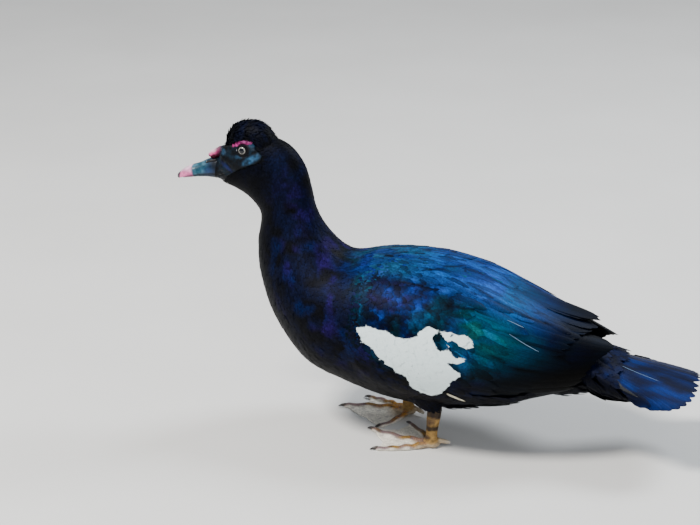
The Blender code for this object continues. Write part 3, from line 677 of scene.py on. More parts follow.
class Nodes:
    """A short way to wire a material."""

    def __init__(self, name):
        self.mat = bpy.data.materials.new(name)
        self.mat.use_nodes = True
        self.tree = self.mat.node_tree
        self.tree.nodes.clear()
        self.out = self.tree.nodes.new("ShaderNodeOutputMaterial")
        self.shader = self.tree.nodes.new("ShaderNodeBsdfPrincipled")
        self.tree.links.new(self.shader.outputs[0], self.out.inputs[0])

    def put(self, socket, value):
        if isinstance(value, bpy.types.NodeSocket):
            self.tree.links.new(value, socket)
        elif value is not None:
            socket.default_value = value

    def set(self, **values):
        for key, value in values.items():
            self.put(self.shader.inputs[key.replace("_", " ")], value)

    def attribute(self, name, output="Color"):
        n = self.tree.nodes.new("ShaderNodeAttribute")
        n.attribute_name = name
        return n.outputs[output]

    def uv(self, name):
        n = self.tree.nodes.new("ShaderNodeUVMap")
        n.uv_map = name
        s = self.tree.nodes.new("ShaderNodeSeparateXYZ")
        self.tree.links.new(n.outputs[0], s.inputs[0])
        return s.outputs[0], s.outputs[1]

    def place(self):
        return self.tree.nodes.new("ShaderNodeTexCoord").outputs["Object"]

    def maths(self, operation, a, b=None, c=None, clamp=False):
        n = self.tree.nodes.new("ShaderNodeMath")
        n.operation, n.use_clamp = operation, clamp
        for socket, value in zip(n.inputs, (a, b, c)):
            self.put(socket, value)
        return n.outputs[0]

    def combine(self, x, y, z=0.0):
        n = self.tree.nodes.new("ShaderNodeCombineXYZ")
        for socket, value in zip(n.inputs, (x, y, z)):
            self.put(socket, value)
        return n.outputs[0]

    def noise(self, vector, scale, detail=2.0, rough=0.5):
        n = self.tree.nodes.new("ShaderNodeTexNoise")
        self.put(n.inputs["Vector"], vector)
        n.inputs["Scale"].default_value = scale
        n.inputs["Detail"].default_value = detail
        n.inputs["Roughness"].default_value = rough
        return n.outputs[0]

    def cells(self, vector, scale, feature="F1", output=0):
        n = self.tree.nodes.new("ShaderNodeTexVoronoi")
        n.feature = feature
        self.put(n.inputs["Vector"], vector)
        n.inputs["Scale"].default_value = scale
        return n.outputs[output]

    def span(self, value, a, b, c, d, soft=False):
        n = self.tree.nodes.new("ShaderNodeMapRange")
        n.interpolation_type = "SMOOTHSTEP" if soft else "LINEAR"
        for socket, v in zip(n.inputs, (value, a, b, c, d)):
            self.put(socket, v)
        return n.outputs[0]

    def blend(self, factor, a, b, how="MIX"):
        n = self.tree.nodes.new("ShaderNodeMix")
        n.data_type, n.blend_type = "RGBA", how
        self.put(n.inputs[0], factor)
        self.put(n.inputs[6], a)
        self.put(n.inputs[7], b)
        return n.outputs[2]

    def grey(self, value):
        n = self.tree.nodes.new("ShaderNodeCombineColor")
        for socket in n.inputs:
            self.put(socket, value)
        return n.outputs[0]

    def bump(self, height, strength, distance):
        n = self.tree.nodes.new("ShaderNodeBump")
        n.inputs["Strength"].default_value = strength
        n.inputs["Distance"].default_value = distance
        self.put(n.inputs["Height"], height)
        self.put(self.shader.inputs["Normal"], n.outputs[0])


def feather_material(name, metallic, roughness, shaft_wide=0.3, strokes=0.35, specks=0.3, level=0.16):
    m = Nodes(name)
    u, v = m.uv("vane")
    side = m.maths("ABSOLUTE", u)
    # barbs leave the shaft and lean to the tip
    barb = m.combine(m.maths("MULTIPLY", m.maths("SUBTRACT", v, m.maths("MULTIPLY", side, 1.15)), 1.0), m.maths("MULTIPLY", u, 0.16))
    stroke = m.noise(barb, 1.7, 3.0, 0.62)
    speck = m.noise(m.place(), 330.0, 2.0, 0.6)
    tint = m.attribute("tint")
    factor = m.maths("MULTIPLY", m.span(stroke, 0.3, 0.7, 1 - strokes, 1 + strokes), m.span(speck, 0.3, 0.7, 1 - specks, 1 + specks))
    dark = m.blend(1.0, tint, m.grey(factor), "MULTIPLY")
    # the shaft: a dark line, or a pale one on a few worn feathers
    line = m.span(side, shaft_wide * 0.6, shaft_wide, 1.0, 0.0, soft=True)
    dark = m.blend(m.maths("MULTIPLY", line, 0.55), dark, m.blend(1.0, tint, (0.25, 0.25, 0.3, 1), "MULTIPLY"))
    dark = m.blend(m.maths("MULTIPLY", line, m.attribute("rib", "Fac")), dark, (0.30, 0.36, 0.40, 1))
    slits = m.noise(barb, 0.55, 2.0, 0.6)
    fringe = m.maths("ADD", m.maths("MULTIPLY", m.maths("SUBTRACT", slits, 0.5), 4.2), m.maths("MULTIPLY", m.maths("SUBTRACT", stroke, 0.5), 1.6))
    field = m.maths("ADD", m.attribute("white", "Fac"), fringe)
    mask = m.span(field, -0.25, 0.25, 0.0, 1.0, soft=True)
    pale = m.blend(m.span(stroke, 0.3, 0.75, 0.0, 1.0), (0.58, 0.70, 0.71, 1), (0.86, 0.96, 0.95, 1))
    gloss = m.maths("MULTIPLY", m.maths("SUBTRACT", 1.0, mask), metallic)
    m.set(Base_Color=m.blend(mask, dark, pale), Metallic=gloss, Roughness=m.span(stroke, 0.3, 0.7, roughness - 0.06, roughness + 0.08))
    m.shader.inputs["Specular IOR Level"].default_value = level
    m.bump(stroke, 0.35, 0.00022)
    return m.mat


soft_plumage = feather_material("plumage_soft", 0.22, 0.54, shaft_wide=0.12, strokes=0.45, specks=0.35, level=0.06)
wing_plumage = feather_material("plumage_wing", 0.30, 0.48, shaft_wide=0.20, strokes=0.48, specks=0.30, level=0.06)
flight_plumage = feather_material("plumage_flight", 0.24, 0.50, shaft_wide=0.50, strokes=0.42, specks=0.15, level=0.05)
crest_plumage = feather_material("plumage_crest", 0.15, 0.55, shaft_wide=0.1, strokes=0.3, specks=0.25, level=0.06)

# ------------------------------------------------------------------- the coat

BARE = [
    (-302, 326), (-286, 330), (-278, 338.5), (-268, 346), (-257, 353), (-247, 357.5), (-236, 361.5), (-229, 366), (-227, 371.5), (-232, 375.5),
    (-237, 379.5), (-239.5, 385), (-243, 389.2), (-250, 391.2), (-257, 390.2), (-264, 387.2), (-270, 384), (-277, 380.6), (-284, 377.4), (-292, 374), (-302, 371),
]


def bare_field(point):
    """Millimetres inside the bare skin of the face, seen from the side."""
    return inside_distance(point[..., 1], point[..., 2], BARE) - 60 * smooth(-222, -205, point[..., 1])


SIZE_AT = [0, 3, 5.6, 8, 10, 12, 15, 19, 22]
length_at = lambda p: np.interp(p, SIZE_AT, [4.6, 6.0, 8.5, 12.5, 17, 23, 29, 34, 44])
width_at = lambda p: np.interp(p, SIZE_AT, [2.6, 3.2, 4.4, 6.0, 8.0, 10.5, 12.5, 13.5, 15])
depth_at = lambda p: np.interp(p, SIZE_AT, [0.9, 1.2, 1.6, 2.1, 2.5, 2.9, 3.3, 3.3, 3.3])


def body_map(p_low, p_high):
    return lambda p, q: (np.mod(q, 1) * 0.98 + 0.01, np.clip((p - p_low) / (p_high - p_low), 0, 1) * 0.98 + 0.01)


def wing_map(p, q):
    return (p + 138) / 386 * 0.98 + 0.01, (q - 0.04) / 0.475 * 0.98 + 0.01


def body_feathers(coat, p, q, form, length=None, width=None, tint=body_tint, low=None, high=None, turn=None, **more):
    length = length_at(p) if length is None else length
    width = width_at(p) if width is None else width
    length = length * rng.uniform(0.88, 1.12, len(p))
    width = width * rng.uniform(0.9, 1.1, len(p))
    turn = rng.normal(0, 0.09, len(p)) + (0 if turn is None else turn)
    low = -depth_at(p) if low is None else low
    high = rng.normal(0.0, 0.12, len(p)) * depth_at(p) * 0.5 + (0.0 if high is None else high)
    settings = dict(ragged=0.06, fray=0.16, soft=0.70, camber=0.05, rise=0.34)
    settings.update(more)
    coat.lay(body, (p, q), ends_of(body, p, q, length, turn), width, low, high, form, tint, roll=rng.normal(0, 0.04, len(p)), **settings)


# head and neck
head_coat = Coat("coat_head", body_map(1, 6))
p, q = scatter(body, (1.12, 5.75), lambda p: 0.30 * length_at(p), lambda p: 0.56 * width_at(p))
root = body.point(p, q)
keep = (bare_field(root) < -0.4 + rng.normal(0, 0.5, len(p))) & (np.linalg.norm(root * [1, 1, 1] - EYE_AT, axis=1) > 9) & (np.linalg.norm(root * [-1, 1, 1] - EYE_AT, axis=1) > 9)
p, q, root = p[keep], q[keep], root[keep]
near = smooth(-1, -12, bare_field(root))  # short beside the bare skin
body_feathers(head_coat, p, q, SCALE, length=length_at(p) * (0.55 + 0.45 * near), width=width_at(p) * (0.6 + 0.4 * near), low=-depth_at(p) * (0.5 + 0.5 * near))

neck_coat = Coat("coat_neck", body_map(5.6, 10.6))
p, q = scatter(body, (5.75, 10.5), lambda p: 0.26 * length_at(p), lambda p: 0.50 * width_at(p))
body_feathers(neck_coat, p, q, CONTOUR, width=0.9 * width_at(p), ragged=0.09, fray=0.2)

# trunk
breast_coat, back_coat, belly_coat = Coat("coat_breast", body_map(10, 17)), Coat("coat_back", body_map(10, 22)), Coat("coat_belly", body_map(12, 22))
p, q = scatter(body, (10.5, 19.35), lambda p: 0.225 * length_at(p), lambda p: 0.45 * width_at(p))
root = body.point(p, q)
_, radius, b, _ = wing_shares(root[:, 0], root[:, 1], root[:, 2])
hidden = (root[:, 1] > wing_front(b) + 24) & (b > 0.09) & (b < 0.93) & (root[:, 1] < 150)
p, q, root = p[~hidden], q[~hidden], root[~hidden]
top = 1 - np.abs(q - 0.5) * 2
is_back = (top > 0.62) & (p > 10.5)
is_belly = ~is_back & ((root[:, 1] > -40) | (top < 0.18) & (p > 12.5))
low_down = smooth(0.22, 0.10, top)
droop = low_down * ((2.5 * smooth(-40, 0, root[:, 1]) + 3.5 * smooth(40, 72, root[:, 1])) * (1 - smooth(84, 110, root[:, 1])) + 9.0 * smooth(140, 185, root[:, 1])) * rng.uniform(0.4, 1.0, len(p))
for coat, chosen, loose in ((back_coat, is_back, 0.05), (belly_coat, is_belly, 0.13), (breast_coat, ~is_back & ~is_belly, 0.07)):
    body_feathers(coat, p[chosen], q[chosen], CONTOUR, ragged=loose, high=droop[chosen], low=-depth_at(p[chosen]) + 0.5 * droop[chosen], width=0.9 * width_at(p[chosen]))

for p_low, p_high, q_low, q_high, count, stand in ((14.95, 15.5, 0.03, 0.095, 60, 5.5), (17.5, 18.5, 0.04, 0.15, 60, 7.5)):
    for mirror in (1, -1):
        p, q = rng.uniform(p_low, p_high, count), rng.uniform(q_low, q_high, count)
        body_feathers(belly_coat, p, q if mirror > 0 else 1 - q, CONTOUR, length=rng.uniform(16, 22, count), width=rng.uniform(6, 9, count), turn=rng.normal(0, 0.22, count),
                      low=-1.0, high=stand * rng.uniform(0.25, 1.0, count), ragged=0.16, fray=0.4)


def tail_covert_tint(point, p, q, t, s, r):
    top = smooth(0.22, 0.34, np.minimum(np.mod(q, 1), 1 - np.mod(q, 1)))
    base = mix(BLACK, mix(NAVY, DEEP, smooth(0.3, 0.8, noise(point, 12, 24))), 0.15 + 0.85 * top)
    return base * (0.35 + 0.55 * r)[..., None]


# tail coverts, above and below the tail's root
around_map = lambda p, q: (np.mod(q, 1) * 0.98 + 0.01, 0.86 + np.clip((p - 180) / 120, 0, 1) * 0.13)
back_coat.skin_map_kept, belly_coat.skin_map_kept = back_coat.skin_map, belly_coat.skin_map
back_coat.skin_map = belly_coat.skin_map = around_map
for coat, span, last in ((back_coat, (0.285, 0.715), 229), (belly_coat, (-0.215, 0.215), 262)):
    p, q = scatter(tail_around, (192, last), lambda p: 7.5, lambda p: 5.4, q_span=span)
    n = len(p)
    long_ = (33 if coat is back_coat else 36) * rng.uniform(0.88, 1.1, n)
    turn = rng.normal(0, 0.08, n)
    full = 0.0 if coat is back_coat else 9.0 * smooth(0.18, 0.05, np.abs(q)) * smooth(192, 205, p) * (1 - smooth(240, 262, p))
    coat.lay(tail_around, (p, q), ends_of(tail_around, p, q, long_, turn), rng.uniform(13, 16, n), -3.2 + 0.6 * full, full + rng.normal(0.0, 0.15, n), CONTOUR, tail_covert_tint,
             ragged=0.06, fray=0.1, soft=0.7)
back_coat.skin_map, belly_coat.skin_map = back_coat.skin_map_kept, belly_coat.skin_map_kept

# wings
covert_length = lambda y: np.interp(y, [-132, -90, -40, 20, 66], [13, 17, 22, 31, 44])
covert_width = lambda y: np.interp(y, [-132, -90, -40, 20, 66], [8, 10, 12.5, 15.5, 18])


def fall(b):
    """How far the wing's feathers turn down from level, in radians."""
    return -np.radians(np.interp(b, [0, 0.15, 0.5, 0.8, 1], [1, 9, 13, 8, 2]))


def shares_of(y, v):
    low, high = at(WING_LOW, y)[..., 1], at(WING_HIGH, y)[..., 1]
    return (v - low) / (high - low)


def at_share(y, b):
    low, high = at(WING_LOW, y)[..., 1], at(WING_HIGH, y)[..., 1]
    return low + (high - low) * b


def flight_tint(tone):
    """A long feather: the wing's colours by place, toned, with a dusky inner edge."""

    def tint(point, p, q, t, s, r):
        c = wing_colour(point, p, q) * tone
        return c * (0.40 + 0.55 * noise(point * [1, 0.3, 1], 5, 22) + 0.55 * r)[..., None] * (1 - 0.60 * smooth(0.35, 1.0, s) - 0.2 * smooth(0.8, 1.0, -s))[..., None]

    return tint


rear_edge = lambda b: float(np.interp(b, [0, 0.15, 0.35, 0.6, 0.85, 1], [196, 212, 222, 238, 246, 238]))

for side, label in ((1, "left"), (-1, "right")):
    sheet = wing[side]
    flights = Coat(f"flight_{label}", wing_map)
    # primaries out to the wing's rear edge; then secondaries, each over the one below it; then tertials
    cell = 0

    def long_feather(y0, b0, y1, b1, wide, low, high, tints, bow=0.0, camber=0.05, form=LONG, roll=0.0, rib=0.0):
        global cell
        place = (np.array([0.06 + 0.11 * (cell % 9)]), np.array([0.06 + 0.11 * (cell // 9)]))
        cell += 1
        start = (np.array([y0]), np.array([at_share(np.array(min(y0, 248.0)), b0)]))
        end = (np.array([y1]), np.array([at_share(np.array(min(y1, 248.0)), b1)]))
        flights.lay(sheet, start, end, wide, low, high, form, tints, camber=camber, rise=0.9, bow=bow * sheet.hand, patch=0.085, place=place, thick=0.5,
                    roll=roll * sheet.hand, soft=0.25, rib=rib, fray=0.06)

    for i in range(10):
        k = i / 9
        b1 = 0.04 + 0.84 * k
        long_feather(88 + 22 * k, 0.15 + 0.58 * k, rear_edge(b1) - 1.5, b1, 25 + 2 * k, -6.8 + 0.24 * i, -4.6 + 0.24 * i, flight_tint(0.85), bow=-2.5)
    for i in range(12):
        k = i / 11
        long_feather(18 + 30 * k, 0.04 + 0.52 * k, 96 + 100 * k, -0.01 + 0.45 * k, 22 + 4 * k, -5.2 + 0.20 * i, -3.0 + 0.18 * i, flight_tint(1.0), bow=-4.0)
    for i in range(6):
        k = i / 5
        long_feather(20 + 10 * k, 0.60 + 0.26 * k, 180 + 26 * k, 0.52 + 0.36 * k, 31 + 4 * k, -3.0 + 0.30 * i, -1.5 + 0.26 * i, flight_tint(1.0), bow=-4.0,
                     form=SCAPULAR)
    # the longest tertials roof the rump, their tips loose
    for i, (y0, v0, y1, v1, stand) in enumerate(((96, 0.452, 212, 0.448, 1.5), (104, 0.474, 217, 0.470, 5.0), (98, 0.490, 208, 0.490, 9.0), (104, 0.504, 213, 0.506, 11.5))):
        place = (np.array([0.06 + 0.11 * (cell % 9)]), np.array([0.06 + 0.11 * (cell // 9)]))
        cell += 1
        flights.lay(sheet, (np.array([float(y0)]), np.array([v0])), (np.array([float(y1)]), np.array([v1])), 34, -1.6 + 0.2 * i, stand, SCAPULAR, flight_tint(0.9),
                    camber=0.05, rise=1.5, patch=0.085, place=place, thick=0.5, soft=0.25, fray=0.08)
    # two bare quills on the left wing
    for y0, v0, y1, v1 in ((111, 0.381, 132, 0.375), (116, 0.348, 154, 0.318)) if side > 0 else ():
        flights.lay(sheet, (np.array([float(y0)]), np.array([v0])), (np.array([float(y1)]), np.array([v1])), 0.85, 0.6, 1.1, QUILL,
                    lambda point, p, q, t, s, r: mix(colour(50, 104, 150), colour(130, 170, 196), t), camber=0.2, place=(np.array([0.95]), np.array([0.95])), thick=0.4, soft=0.1, rib=0.25)

    # greater coverts over the roots of the flight feathers
    coverts = Coat(f"coverts_{label}", wing_map)
    for row, (y_row, long_, wide_, low_, high_) in enumerate(((36, 62, 20, -2.6, -1.5), (16, 50, 18, -2.2, -0.9))):
        b = np.linspace(0.03, 0.66, 17) + rng.normal(0, 0.004, 17)
        y = y_row + 22 * smooth(0.0, 0.6, b) + rng.normal(0, 1.8, 17) - 6 * (b < 0.1)
        v = at_share(y, b)
        turn = (fall(b) * 1.2 + rng.normal(0, 0.04, 17)) * sheet.hand
        coverts.lay(sheet, (y, v), ends_of(sheet, y, v, long_ * rng.uniform(0.88, 1.08, 17), turn), wide_, low_, high_, SCAPULAR, wing_tint,
                    roll=0.04 * sheet.hand, patch=0.004, soft=0.45, fray=0.12, wave=0.4)
    # lesser and median coverts
    y, v = scatter(sheet, (-134, 44), lambda y: 0.25 * covert_length(y), lambda y: 0.48 * covert_width(y), q_span=(0.11, 0.50))
    b = shares_of(y, v)
    keep = (b > -0.01) & (b < 1.04) & (y > wing_front(b) - 3)
    y, v, b = y[keep], v[keep], b[keep]
    turn = (fall(b) + rng.normal(0, 0.10, len(y))) * sheet.hand
    size = rng.uniform(0.86, 1.14, len(y))
    coverts.lay(sheet, (y, v), ends_of(sheet, y, v, covert_length(y) * size, turn), covert_width(y) * size, -2.5, rng.normal(0.1, 0.12, len(y)), COVERT, wing_tint,
                roll=rng.normal(0.02, 0.03, len(y)) * sheet.hand, patch=0.003, soft=0.72, ragged=0.03, fray=0.14)
    # a cream feather shows below the white patch
    coverts.lay(sheet, (np.array([40.0]), np.array([0.170])), (np.array([63.0]), np.array([0.1475])), 4.6, 0.2, 1.6, SCAPULAR,
                lambda point, p, q, t, s, r: colour(206, 200, 176) * (0.8 + 0.3 * t)[..., None], thick=0.3, soft=0.3, fray=0.2)
    # scapulars, from the shoulder back along the top of the wing
    scapulars = Coat(f"scapulars_{label}", wing_map)
    scap_length = lambda y: np.interp(y, [-90, -40, 20, 70, 120], [22, 32, 54, 76, 84])
    scap_width = lambda y: np.interp(y, [-90, -40, 20, 70, 120], [10, 12.5, 15, 17.5, 19])
    y, v = scatter(sheet, (-84, 116), lambda y: 0.19 * scap_length(y), lambda y: 0.46 * scap_width(y), q_span=(0.36, 0.512))
    line = np.interp(y, [-84, -40, 0, 40, 80, 116], [0.436, 0.424, 0.412, 0.404, 0.414, 0.430])
    keep = (v > line + rng.normal(0, 0.008, len(y))) & (v < 0.509)
    y, v = y[keep], v[keep]
    turn = (-np.radians(np.interp(v, [0.40, 0.45, 0.5], [10, 5, 0])) + rng.normal(0, 0.07, len(y))) * sheet.hand

    def scap_tint(point, p, q, t, s, r):
        c = wing_colour(point, p, q) * (0.40 + 1.15 * r)[..., None]
        return c * (1 - 0.60 * smooth(0.35, 1.0, s) - 0.20 * smooth(0.75, 1.0, t))[..., None]

    near_front = smooth(-84, -10, y)
    scapulars.lay(sheet, (y, v), ends_of(sheet, y, v, scap_length(y) * rng.uniform(0.82, 1.12, len(y)), turn), scap_width(y), -1.9,
                  rng.normal(0.35, 0.30, len(y)) * (0.3 + 0.7 * near_front), SCAPULAR, scap_tint,
                  roll=rng.normal(0.04, 0.05, len(y)) * sheet.hand, patch=0.004, soft=0.30, fray=0.14, wave=0.45, camber=0.07)
    flights.build(flight_plumage, "wing", f"wing_{label}")
    coverts.build(wing_plumage, "wing")
    scapulars.build(wing_plumage, "wing")


def tail_tint(point, p, q, t, s, r):
    c = mix(mix(NAVY, DEEP, 0.5), mix(DEEP, BLUE, 0.7), smooth(0.3, 0.8, noise(point * [1, 0.35, 1], 9, 25)))
    c = mix(c, BLACK, smooth(0.4, 1.0, np.abs(s)) * 0.5)
    return c * (0.32 + 0.36 * r)[..., None] * (1 - 0.3 * smooth(0.93, 1.0, t))[..., None]


# tail: nine feathers a side, the middle ones on top
tail_coat = Coat("tail_feathers", lambda p, q: ((p - 180) / 180, (q + 90) / 180))
tips = [(351.5, 9), (351, 22), (350, 35), (347, 46.5), (342, 56.5), (335, 65), (325.5, 71.5), (313, 75.5), (299, 76)]
cell = 0
for i in range(8, -1, -1):
    for side in (1, -1):
        y1, x1 = tips[i]
        x0 = 3.0 + 2.6 * i
        place = (np.array([0.06 + 0.11 * (cell % 9)]), np.array([0.06 + 0.11 * (cell // 9)]))
        cell += 1
        tail_coat.lay(tail_sheet, (np.array([212.0 + 1.5 * i]), np.array([x0 * side])), (np.array([float(y1)]), np.array([(x1 - 2.5) * side])),
                      29 - 0.5 * i, -5.0 - 0.55 * i, 0.5 - 0.40 * i, RECTRIX, tail_tint, camber=0.045,
                      bow=3.0 * side * tail_sheet.hand, rise=0.9, patch=0.085, place=place, thick=0.5, soft=0.25, fray=0.04)
tail_coat.lay(tail_sheet, (np.array([254.0]), np.array([25.0])), (np.array([302.0]), np.array([31.0])), 0.8, 1.2, 1.4, QUILL,
              lambda point, p, q, t, s, r: mix(colour(50, 100, 150), colour(110, 150, 185), t), camber=0.2, place=(np.array([0.95]), np.array([0.95])), thick=0.4, soft=0.1, rib=0.25)
tail_coat.build(flight_plumage, "tail", "tail")

# crest: bushy, narrow plumes, standing a little
crest_coat = Coat("coat_crest", lambda p, q: (q * 0.98 + 0.01, p / 6 * 0.98 + 0.01))
p, q = scatter(crest_sheet, (0.15, 5.9), lambda p: 1.75, lambda p: 1.6)
clear = bare_field(crest_sheet.point(p, q)) < -0.8
p, q = p[clear], q[clear]
n = len(p)
rate_p, rate_q = crest_sheet.rate(p, q)
turn = rng.normal(0, 0.24, n)
long_ = rng.uniform(9, 16, n) * np.interp(p, [0, 1, 4, 6], [0.55, 0.9, 1.0, 0.9])
for _ in range(4):  # no plume hangs over the brow's warts
    over = bare_field(crest_sheet.point(p + long_ * np.cos(turn) / rate_p, q + long_ * np.sin(turn) / rate_q * crest_sheet.hand)) > -0.2
    long_ = np.where(over, long_ * 0.72, long_)


def crest_tint(point, p, q, t, s, r):
    return mix(BLACK, NAVY, smooth(0.4, 0.9, noise(point, 8, 41)) * 0.7) * (0.6 + 0.8 * r)[..., None]


crest_coat.lay(crest_sheet, (p, q), (p + long_ * np.cos(turn) / rate_p, q + long_ * np.sin(turn) / rate_q * crest_sheet.hand), rng.uniform(2.4, 3.6, n), -3.2,
               rng.normal(0.3, 1.0, n), PLUME, crest_tint, camber=0.14, rise=0.8, thick=0.3, soft=0.35)
crest_coat.build(crest_plumage, "crest", "crest")
head_coat.build(soft_plumage, "plumage")
neck_coat.build(soft_plumage, "plumage")
breast_coat.build(soft_plumage, "plumage")
back_coat.build(soft_plumage, "plumage")
belly_coat.build(soft_plumage, "plumage")

# ----------------------------------------------------------------- the skin


def grid_quads(m, n, closed=False):
    i, j = np.meshgrid(np.arange(m - 1), np.arange(n if closed else n - 1), indexing="ij")
    k = (j + 1) % n
    return np.stack([i * n + j, (i + 1) * n + j, (i + 1) * n + k, i * n + k], -1).reshape(-1, 4)


class Shells:
    """Closed shells gathered into one mesh, with a colour at each point."""

    def __init__(self):
        self.points, self.quads, self.threes, self.tints, self.count = [], [], [], [], 0

    def add(self, points, quads, threes, tints):
        self.points.append(points)
        self.quads.append(np.asarray(quads, int).reshape(-1, 4) + self.count)
        self.threes.append(np.asarray(threes, int).reshape(-1, 3) + self.count)
        self.tints.append(np.broadcast_to(tints, points.shape))
        self.count += len(points)

    def rings(self, rings, tint):
        """A loft through closed rings, with its two ends filled."""
        m, n = rings.shape[:2]
        points = np.concatenate([rings.reshape(-1, 3), rings[0].mean(0)[None], rings[-1].mean(0)[None]])
        k = np.arange(n)
        threes = np.concatenate([
            np.stack([k * 0 + m * n, k, (k + 1) % n], -1),
            np.stack([k * 0 + m * n + 1, (m - 1) * n + (k + 1) % n, (m - 1) * n + k], -1),
        ])
        self.add(points, grid_quads(m, n, True), threes, tint(points) if callable(tint) else tint)



def bill_section(y, q):
    """The closed bill's own outline at y; q runs round as on the body."""
    upper, lower = at(BILL_UPPER, y), at(BILL_LOWER, y)
    phi = 2 * np.pi * q
    mid = upper[..., 2] + 0.06 * (upper[..., 1] - upper[..., 2])
    high, deep = np.maximum(-np.cos(phi), 0) ** 0.9 * (upper[..., 1] - mid), np.maximum(np.cos(phi), 0) ** 0.8 * (mid - lower[..., 2])
    return np.stack([upper[..., 3] * power(np.sin(phi), 0.85), y + 0 * phi, mid + high - deep], -1)


LUMPS = [  # y, z, radius, height: the warts of the brow, above each eye, then round the bill's base
    (-267.8, 381.6, 2.1, 0.9), (-263.4, 384.0, 2.6, 1.5), (-258.6, 386.4, 3.1, 2.1), (-253.4, 388.2, 3.5, 2.5), (-248.4, 388.8, 3.3, 2.3), (-244.4, 387.4, 2.4, 1.3),
    (-284, 374, 2.4, 0.9), (-279, 378, 2.2, 0.8), (-286, 366, 2.6, 0.9), (-281, 369.5, 1.9, 0.6), (-276, 372, 1.7, 0.5), (-285, 358, 2.4, 0.8),
    (-279, 361, 2.0, 0.6), (-284, 350, 2.6, 0.9), (-277, 353, 2.0, 0.6), (-288, 343, 2.2, 0.8), (-272, 358, 1.8, 0.5), (-272, 379, 1.6, 0.5),
    (-261.6, 376.6, 1.3, 0.9),
]
PINK, ROSE = colour(198, 92, 156), colour(136, 30, 92)
SKIN_BLACK, SKIN_BLUE_SHEEN, SKIN_TEAL = colour(3, 4, 8), colour(46, 84, 116), colour(6, 20, 31)


def lump_field(point, which):
    total = 0.0
    for y, z, r, h in which:
        d2 = ((point[..., 1] - y) ** 2 + (point[..., 2] - z) ** 2) / (r * r)
        total = np.maximum(total, h * np.exp(-(d2**1.3) * 0.6))
    return total


def face_tint(point):
    """Colours of the bare skin, black where feathers grow."""
    y, z = point[..., 1], point[..., 2]
    bare = smooth(-2, 1.5, bare_field(point))
    mottle = noise(point, 3.2, 51)
    base = mix(SKIN_BLACK, SKIN_TEAL, smooth(0.35, 0.8, 0.6 * noise(point, 7, 52) + 0.4 * mottle))
    # painted highlight: patches of blue sheen behind and above the eye, on the brow and under the eye
    behind = np.exp(-(((y + 240.5) / 12) ** 2 + ((z - 367.0 - 0.55 * (y + 240.5)) / 4.6) ** 2) ** 1.5)
    above = np.exp(-(((y + 243) / 5.5) ** 2 + ((z - 385 + 0.5 * (y + 243)) / 4.0) ** 2) ** 1.5)
    lore = np.exp(-(((y + 277) / 8) ** 2 + ((z - 352.5 + 0.72 * (y + 277)) / 3.4) ** 2) ** 1.5)
    brow = np.exp(-(((y + 283) / 5) ** 2 + ((z - 371) / 3.5) ** 2) ** 1.5)
    under_eye = np.exp(-(((y + 262) / 7) ** 2 + ((z - 368) / 2.6) ** 2) ** 1.5)
    base = mix(base, SKIN_BLUE_SHEEN, np.clip(behind * 0.95 + above * 0.85 + brow * 0.45 + under_eye * 0.3, 0, 1) * np.clip(0.25 + 1.0 * mottle, 0, 1))
    base = mix(base, colour(22, 32, 78), lore * 0.75)
    pink = smooth(0.35, 0.85, lump_field(point, LUMPS[:6]))
    base = mix(base, mix(ROSE, PINK, np.clip(smooth(0.35, 0.85, mottle + 0.5 * smooth(384.5, 388.5, z) - 0.2) * smooth(-268, -254, y) + 0.1, 0, 1)), pink)
    base = mix(base, colour(190, 190, 196), smooth(0.45, 0.8, lump_field(point, LUMPS[18:])))
    ring = np.hypot(y - EYE_AT[1], z - EYE_AT[2])
    base = mix(base, colour(7, 8, 13), smooth(9.5, 7.5, ring) * 0.9)
    base = base * (0.7 + 0.6 * mottle)[..., None]
    return mix(BLACK * 0.8, base, bare)


skin = Shells()
# body, from the bill's base to the tail: fine on the face, coarser behind
p_line = np.concatenate([np.linspace(0.40, 4.9, 200)[:-1], np.linspace(4.9, 10, 30)[:-1], np.linspace(10, 19.4, 48)])
q_line = np.linspace(0, 1, 241)[:-1]
P, Q = np.meshgrid(p_line, q_line, indexing="ij")
surface, out = body.point(P, Q), body.out(P, Q)
bare = smooth(-1.5, 1.0, bare_field(surface))
depth = (depth_at(P) + 0.9) * (1 - bare) + np.where(P > 10, 1.2 + 4.8 * under_wing(surface), 0.0)
folds = 0.35 * (noise(surface, 2.6, 61) - 0.5) + 0.5 * (noise(surface, 5.5, 62) - 0.5) + 0.5 * (noise(surface * [1, 0.5, 1.6], 3.6, 63) - 0.5) * smooth(-262, -245, surface[..., 1])
lump = lump_field(surface, LUMPS)
crease_line = np.interp(surface[..., 1], [-292, -280, -268, -256], [338.5, 342, 349, 354])
crease = 0.9 * np.exp(-(((surface[..., 2] - crease_line) / 1.3) ** 2)) * smooth(-262, -270, surface[..., 1]) * smooth(4, 8, np.abs(surface[..., 0]))
sideways = smooth(4, 9, np.abs(surface[..., 0]))
height = -depth + bare * (folds + lump * sideways - crease)
ring = np.hypot(surface[..., 1] - EYE_AT[1], surface[..., 2] - EYE_AT[2])
socket = smooth(8.6, 7.0, ring) * smooth(10, 14, np.abs(surface[..., 0]))
height = height - socket * 7.0
skin_points = surface + out * height[..., None]
# the face's front edge thins out on the bill's own surface
reach = 1.45 + 0.95 * smooth(0.12, 0.24, np.abs(Q - 0.5))
share = np.clip((reach - P) / (reach - 0.40), 0, 1)
onto = share * share * (3 - 2 * share)
on_bill = bill_section(surface[..., 1], Q)
on_bill[..., [0, 2]] = (on_bill[..., [0, 2]] - [0, 346]) * (1.012 - 0.05 * smooth(0.50, 0.40, P))[..., None] + [0, 346]
skin_points = skin_points * (1 - onto[..., None]) + on_bill * onto[..., None]
tint = face_tint(surface)
skin.rings(skin_points, lambda pts: np.concatenate([tint.reshape(-1, 3), BLACK[None], BLACK[None]]))

